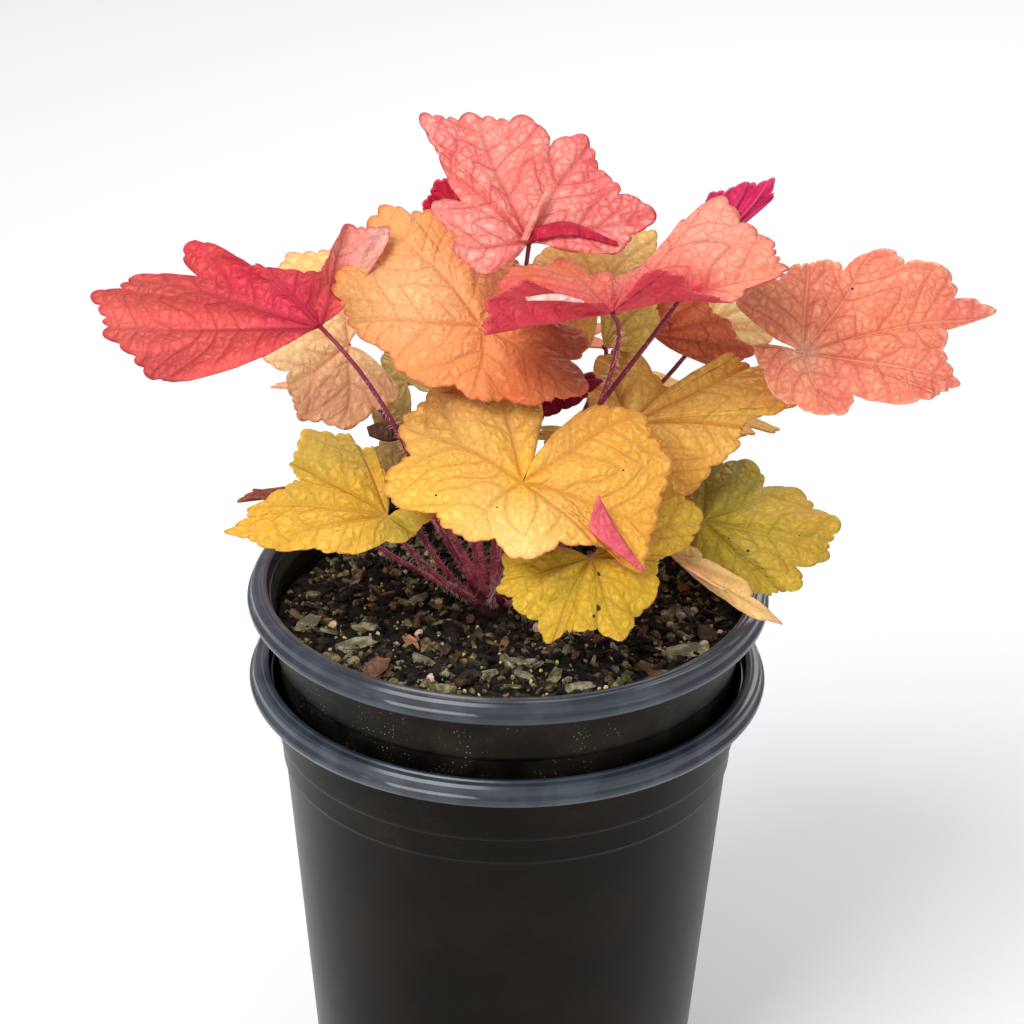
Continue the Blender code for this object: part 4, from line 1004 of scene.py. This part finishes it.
def potMaterial(name, rise, dusty):
    # glossy black plastic; scuffs and drips of dried compost show on the inner pot's collar; the rim's blue-grey colour
    # is painted sheen
    material, tree, shader = newMaterial(name, Specular_IOR_Level=0.12, Coat_Roughness=0.2,
                                         Specular_Tint=(1.0, 0.84, 0.66, 1.0))
    spot = objectSpot(tree)
    height = calc(tree, "SUBTRACT", addNode(tree, "ShaderNodeSeparateXYZ", {"Vector": spot}).outputs["Z"], rise * mm)
    haze = addNode(tree, "ShaderNodeTexNoise", {"Vector": spot, "Scale": 38.0, "Detail": 5.0, "Roughness": 0.6})
    colour = blendColour(tree, ramp(tree, haze.outputs["Fac"], 0.4, 0.7), tone(potFinish["black"]),
                         tone(potFinish["brown"]))
    specks = addNode(tree, "ShaderNodeTexVoronoi", {"Vector": spot, "Scale": 760.0, "Randomness": 1.0})
    cluster = addNode(tree, "ShaderNodeTexNoise", {"Vector": spot, "Scale": 75.0, "Detail": 3.0})
    where = ramp(tree, cluster.outputs["Fac"], 0.44, 0.62)
    band = calc(tree, "MULTIPLY", ramp(tree, height, 0.125, 0.14), ramp(tree, height, 0.1585, 0.156))
    dots = calc(tree, "MULTIPLY", ramp(tree, specks.outputs["Distance"], 0.2, 0.09), where)
    dust = calc(tree, "MULTIPLY", calc(tree, "MULTIPLY", dots, band), 0.6 if dusty else 0.08)
    film = calc(tree, "MULTIPLY", calc(tree, "MULTIPLY", ramp(tree, haze.outputs["Fac"], 0.35, 0.75), band),
                0.04 if dusty else 0.01)
    colour = blendColour(tree, calc(tree, "MAXIMUM", dust, film), colour, tone(potFinish["dustColour"]))
    # painted sheen: the rim is coloured a patchy blue-grey for the light it reflects; the coat on it is real gloss
    onRim = ramp(tree, height, 0.1562, 0.1574)
    rimSheenColour = blendColour(tree, ramp(tree, cluster.outputs["Fac"], 0.42, 0.66), tone(potFinish["rim"]),
                            tone(potFinish["rimWorn"]))
    colour = blendColour(tree, onRim, colour, rimSheenColour)
    tree.links.new(colour, shader.inputs["Base Color"])
    tree.links.new(calc(tree, "MULTIPLY", onRim, 0.7), shader.inputs["Coat Weight"])
    grain = addNode(tree, "ShaderNodeTexNoise", {"Vector": spot, "Scale": 1400.0, "Detail": 2.0})
    base = ramp(tree, height, 0.156, 0.158, potFinish["wallRough"], potFinish["rimRough"])
    tree.links.new(calc(tree, "ADD", calc(tree, "ADD", base, calc(tree, "MULTIPLY", haze.outputs["Fac"], 0.12)),
                   calc(tree, "MULTIPLY", dust, 0.5)), shader.inputs["Roughness"])
    bump = addNode(tree, "ShaderNodeBump", {"Height": grain.outputs["Fac"], "Strength": 0.12, "Distance": 0.0002})
    tree.links.new(bump.outputs["Normal"], shader.inputs["Normal"])
    return material


# Soil: dark compost with bark chips, prills and grit
soilStyle = dict(level=181.0, lean=-0.105, rough=2.2, seed=11.0, fine=1.2, segments=200, rings=64,
                 lumps=480, crumbs=2600, chips=560, prills=18, grit=430)


def soilHeight(x, y):
    spot = Vector((x / 9.0, y / 9.0, soilStyle["seed"]))
    lumps = noise.noise(spot) + 0.5 * noise.noise(spot * 2.3)
    return soilStyle["level"] + soilStyle["lean"] * y + soilStyle["rough"] * lumps


def potInside(height):
    points = [(z + pot["rise"], r) for r, z in innerWall()]
    for (low, rLow), (high, rHigh) in zip(points, points[1:]):
        if low <= height <= high:
            return rLow + (rHigh - rLow) * (height - low) / (high - low)
    return points[0][1]


def soilMaterial(name, dark, light, scale):
    material, tree, shader = newMaterial(name, Roughness=0.9, Specular_IOR_Level=0.25)
    mottle = fillGroup(tree, mottleGroup, {"Patch Scale": scale, "Grain Scale": 1500.0})
    colour = blendColour(tree, mottle.outputs["Patch"], tone(dark), tone(light))
    shade = addNode(tree, "ShaderNodeHueSaturation", {"Color": colour,
                    "Value": ramp(tree, mottle.outputs["Grain"], 0.3, 0.7, 0.6, 1.4)})
    tree.links.new(shade.outputs["Color"], shader.inputs["Base Color"])
    bump = addNode(tree, "ShaderNodeBump", {"Height": mottle.outputs["Grain"], "Strength": 0.6, "Distance": 0.0006})
    tree.links.new(bump.outputs["Normal"], shader.inputs["Normal"])
    return material


def scatterCopies(pattern, count, sizes, materials, squash, sink, keepOut=0.0, reachOut=72.0, upright=0.35):
    # copies of one small piece, laid over the soil
    made = []
    for k in range(count):
        radius = reachOut * math.sqrt(dice.uniform((keepOut / reachOut)**2, 1.0))
        turn = dice.uniform(0, 2 * math.pi)
        x, y = radius * math.cos(turn), radius * math.sin(turn)
        z = soilHeight(x, y)
        if math.hypot(x - stalkStyle["crownAt"][0], y - stalkStyle["crownAt"][1]) < stalkStyle["crownRadius"] + 1:
            continue
        size = dice.uniform(*sizes)
        mesh = pattern.data.copy()
        mesh.materials.clear()
        mesh.materials.append(materials[int(dice.integers(len(materials)))])
        shape = Matrix.Diagonal((size * squash[0] * dice.uniform(0.7, 1.3), size * squash[1] * dice.uniform(0.7, 1.3),
                                 size * squash[2] * dice.uniform(0.7, 1.3), 1.0))
        tip = Matrix.Rotation(dice.normal(0, upright), 4, "X") @ Matrix.Rotation(dice.normal(0, upright), 4, "Y")
        spin = Matrix.Rotation(dice.uniform(0, 6.28), 4, "Z")
        mesh.transform(Matrix.Scale(mm, 4) @ Matrix.Translation((x, y, z + size * squash[2] * sink)) @ spin @ tip @ shape)
        piece = bpy.data.objects.new(pattern.name + str(k), mesh)
        bpy.context.collection.objects.link(piece)
        made.append(piece)
    return made


def pebble(name, lumps, subdivisions=2):
    deselectAll()
    bpy.ops.mesh.primitive_ico_sphere_add(subdivisions=subdivisions, radius=1.0)
    piece = bpy.context.object
    piece.name = name
    for vertex in piece.data.vertices:
        vertex.co *= 1 + lumps * noise.noise(vertex.co * 1.7 + Vector((len(name), 0, 0)))
    return piece


def barkChip(name):
    deselectAll()
    bpy.ops.mesh.primitive_cube_add(size=2.0)
    piece = bpy.context.object
    piece.name = name
    bpy.ops.object.mode_set(mode="EDIT")
    bpy.ops.mesh.select_all(action="SELECT")
    bpy.ops.mesh.subdivide(number_cuts=1)
    bpy.ops.object.mode_set(mode="OBJECT")
    for vertex in piece.data.vertices:
        shift = noise.noise_vector(vertex.co * 0.9 + Vector((len(name) * 3.1, 0, 0)))
        taper = 1.0 - 0.35 * abs(vertex.co.x)
        vertex.co = Vector((vertex.co.x, vertex.co.y * taper, vertex.co.z)) + 0.35 * shift
    return piece


def makeSoil():
    style = soilStyle
    segments, rings = ((style["segments"], style["rings"]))
    deselectAll()
    bpy.ops.mesh.primitive_grid_add(x_subdivisions=segments, y_subdivisions=rings + 6, size=1.0)
    soil = bpy.context.object
    soil.name = "soil"
    bottom = pot["rise"] + pot["floor"] + 0.3
    ribTop = 2 * pot["rise"] + 0.3
    below = [(72.3, 168.9), (70.4, 159.6), (potInside(ribTop + 3) - 0.4, ribTop + 3), (58.2, ribTop),
             (58.2, bottom), (0.0, bottom)]
    crownX, crownY = stalkStyle["crownAt"]
    for vertex in soil.data.vertices:
        turn = (vertex.co.x + 0.5) * 2 * math.pi
        ring = round((vertex.co.y + 0.5) * (rings + 6))
        if ring > rings:
            radius, z = below[ring - rings - 1]
            vertex.co = Vector((radius * math.cos(turn), radius * math.sin(turn), z)) * mm
            continue
        share = ring / rings
        radius = 73.3 * share
        x, y = radius * math.cos(turn), radius * math.sin(turn)
        z = soilHeight(x, y)
        rim = potInside(min(z, style["level"])) - 0.4
        radius = min(radius, rim)
        x, y = radius * math.cos(turn), radius * math.sin(turn)
        spot = Vector((x, y, 3.0))
        z += style["fine"] * (noise.noise(spot / 2.6) + 0.5 * noise.noise(spot / 1.1))
        nearCrown = math.hypot(x - crownX, y - crownY)
        z -= 3.0 * max(0.0, 1 - nearCrown / 13.0)
        vertex.co = Vector((x, y, z)) * mm
    pick(soil)
    bpy.ops.object.mode_set(mode="EDIT")
    bpy.ops.mesh.select_all(action="SELECT")
    bpy.ops.mesh.remove_doubles(threshold=0.00001)
    bpy.ops.mesh.normals_make_consistent(inside=False)
    bpy.ops.object.mode_set(mode="OBJECT")
    ground = soilMaterial("soilGround", (12, 10, 8), (40, 33, 25), 260.0)
    soil.data.materials.append(ground)
    bpy.ops.object.shade_smooth()
    crumbColours = [ground, ground, ground, soilMaterial("soilCrumb", (26, 22, 17), (70, 58, 43), 300.0),
                    soilMaterial("soilFibre", (66, 54, 38), (140, 116, 80), 300.0),
                    soilMaterial("soilOlive", (78, 74, 44), (150, 142, 100), 300.0)]
    barkColours = [soilMaterial("barkBrown", (92, 62, 44), (134, 98, 74), 220.0),
                   soilMaterial("barkGrey", (100, 96, 76), (166, 158, 128), 220.0),
                   soilMaterial("barkDark", (42, 32, 25), (84, 62, 46), 220.0),
                   soilMaterial("barkTan", (150, 104, 74), (196, 148, 112), 220.0)]
    chipColours = barkColours[1:3] + crumbColours[1:] + barkColours[:1]
    prillColours = [soilMaterial("prillTan", (206, 176, 148), (232, 206, 180), 200.0),
                    soilMaterial("prillRose", (206, 160, 150), (226, 190, 178), 200.0)]
    gritColours = [soilMaterial("gritYellow", (206, 196, 96), (228, 220, 140), 300.0),
                   soilMaterial("gritOlive", (120, 118, 58), (158, 150, 86), 300.0),
                   soilMaterial("gritPale", (176, 166, 140), (206, 196, 170), 300.0)]
    share = 1.0
    lump, chip, prill = pebble("lump", 0.6), barkChip("chip"), pebble("prill", 0.05)
    crumb, grit = pebble("crumb", 0.5, 1), pebble("grit", 0.3, 1)
    pieces = scatterCopies(lump, int(style["lumps"] * share), (1.1, 2.4), crumbColours, (1, 0.8, 0.7), 0.3)
    pieces += scatterCopies(crumb, int(style["crumbs"] * share), (0.5, 1.4), crumbColours, (1, 0.8, 0.7), 0.7)
    pieces += scatterCopies(chip, int(style["chips"] * share), (0.8, 2.5), chipColours, (1.5, 0.6, 0.24), 1.9,
                            14.0, 69.0, 0.45)
    pieces += scatterCopies(prill, style["prills"], (1.2, 1.7), prillColours, (1, 1, 1), 0.6, 20.0, 70.0)
    pieces += scatterCopies(grit, int(style["grit"] * share), (0.35, 0.75), gritColours, (1, 1, 1), 0.9, 16.0, 70.0)
    for x, y, size, turn, colour in ((-63, -18, 4.6, 1.2, 1), (-47, -33, 4.8, 0.5, 1), (-40, -52, 5.2, 1.3, 0),
                                     (56, -38, 5.4, 0.2, 1), (44, -48, 4.2, 2.4, 0), (-30, -30, 3.4, 2.0, 3),
                                     (-12, -58, 3.6, 0.9, 2), (22, -62, 3.4, 0.3, 1), (62, -22, 3.8, 1.7, 2)):
        mesh = chip.data.copy()
        mesh.materials.clear()
        mesh.materials.append(barkColours[colour])
        place = Matrix.Translation((x, y, soilHeight(x, y) + 1.3))
        shape = Matrix.Diagonal((size * 1.25, size * 0.62, size * 0.2, 1.0))
        mesh.transform(Matrix.Scale(mm, 4) @ place @ Matrix.Rotation(turn, 4, "Z") @ Matrix.Rotation(0.16, 4, "X") @ shape)
        piece = bpy.data.objects.new("bark", mesh)
        bpy.context.collection.objects.link(piece)
        pieces.append(piece)
    for pattern in (lump, crumb, chip, prill, grit):
        bpy.data.objects.remove(pattern, do_unlink=True)
    joinInto(soil, pieces)
    dress(soil, "soil")


def makeStage():
    deselectAll()
    bpy.ops.mesh.primitive_plane_add(size=8.0, location=(0, 0, -0.0005))
    floor = bpy.context.object
    floor.name = "floor"
    material, tree, shader = newMaterial("paleFloor", Roughness=0.85)
    shader.inputs["Base Color"].default_value = tone((244, 244, 247))
    floor.data.materials.append(material)


lights = dict(
    key=dict(at=(-0.8, -0.9, 1.6), size=1.1, power=30.0),
    fill=dict(at=(1.2, -0.8, 0.8), size=1.0, power=4.0),
    back=dict(at=(0.4, 1.2, 1.2), size=0.9, power=9.0))


def makeLights():
    for name, light in lights.items():
        data = bpy.data.lights.new(name, "AREA")
        data.size = light["size"]
        data.energy = light["power"]
        lamp = bpy.data.objects.new(name, data)
        bpy.context.collection.objects.link(lamp)
        lamp.location = light["at"]
        lamp.rotation_euler = (Vector((0, 0, 0.2)) - lamp.location).to_track_quat("-Z", "Y").to_euler()
    world = bpy.context.scene.world or bpy.data.worlds.new("studio")
    bpy.context.scene.world = world
    world.use_nodes = True
    world.node_tree.nodes["Background"].inputs["Color"].default_value = (1.0, 1.0, 1.0, 1.0)
    world.node_tree.nodes["Background"].inputs["Strength"].default_value = 0.47


camera = dict(at=(0.0009, -0.9013, 0.6674), lookDown=26.6, roll=0.75, lens=112.5, sensor=36.0)


def makeCamera():
    data = bpy.data.cameras.new("camera")
    data.lens = camera["lens"]
    data.sensor_width = camera["sensor"]
    data.clip_start = 0.05
    eye = bpy.data.objects.new("camera", data)
    bpy.context.collection.objects.link(eye)
    turn = Matrix.Rotation(math.radians(90 - camera["lookDown"]), 4, "X") @ Matrix.Rotation(math.radians(camera["roll"]), 4, "Z")
    eye.matrix_world = Matrix.Translation(camera["at"]) @ turn
    bpy.context.scene.camera = eye


print("materials")
stalkSkin = stalkMaterial()
hairPale, _, _ = newMaterial("hairPale", Base_Color=tone((236, 214, 208)), Roughness=0.6)
spotSkin, _, _ = newMaterial("leafSpot", Base_Color=tone((44, 26, 16)), Roughness=0.8)
woodSkin = soilMaterial("crownWood", (58, 30, 26), (104, 58, 44), 180.0)
sheathSkin = soilMaterial("sheath", (120, 24, 54), (170, 60, 84), 240.0)
print("pots")
makePot("outer_pot", 0.0, potMaterial("outerPotPlastic", 0.0, False))
makePot("inner_pot", pot["rise"], potMaterial("innerPotPlastic", pot["rise"], True))
print("soil")
makeSoil()
print("crown")
makeCrown(woodSkin, sheathSkin)
print("leaves")
for leafName, leafFacts in leaves.items():
    makeLeaf("leaf_" + leafName, leafFacts, hairPale, spotSkin)
    makeStalk("stalk_" + leafName, leafFacts, stalkSkin, hairPale)
print("stage")
makeStage()
makeLights()
makeCamera()
bpy.context.scene.view_settings.view_transform = "Standard"
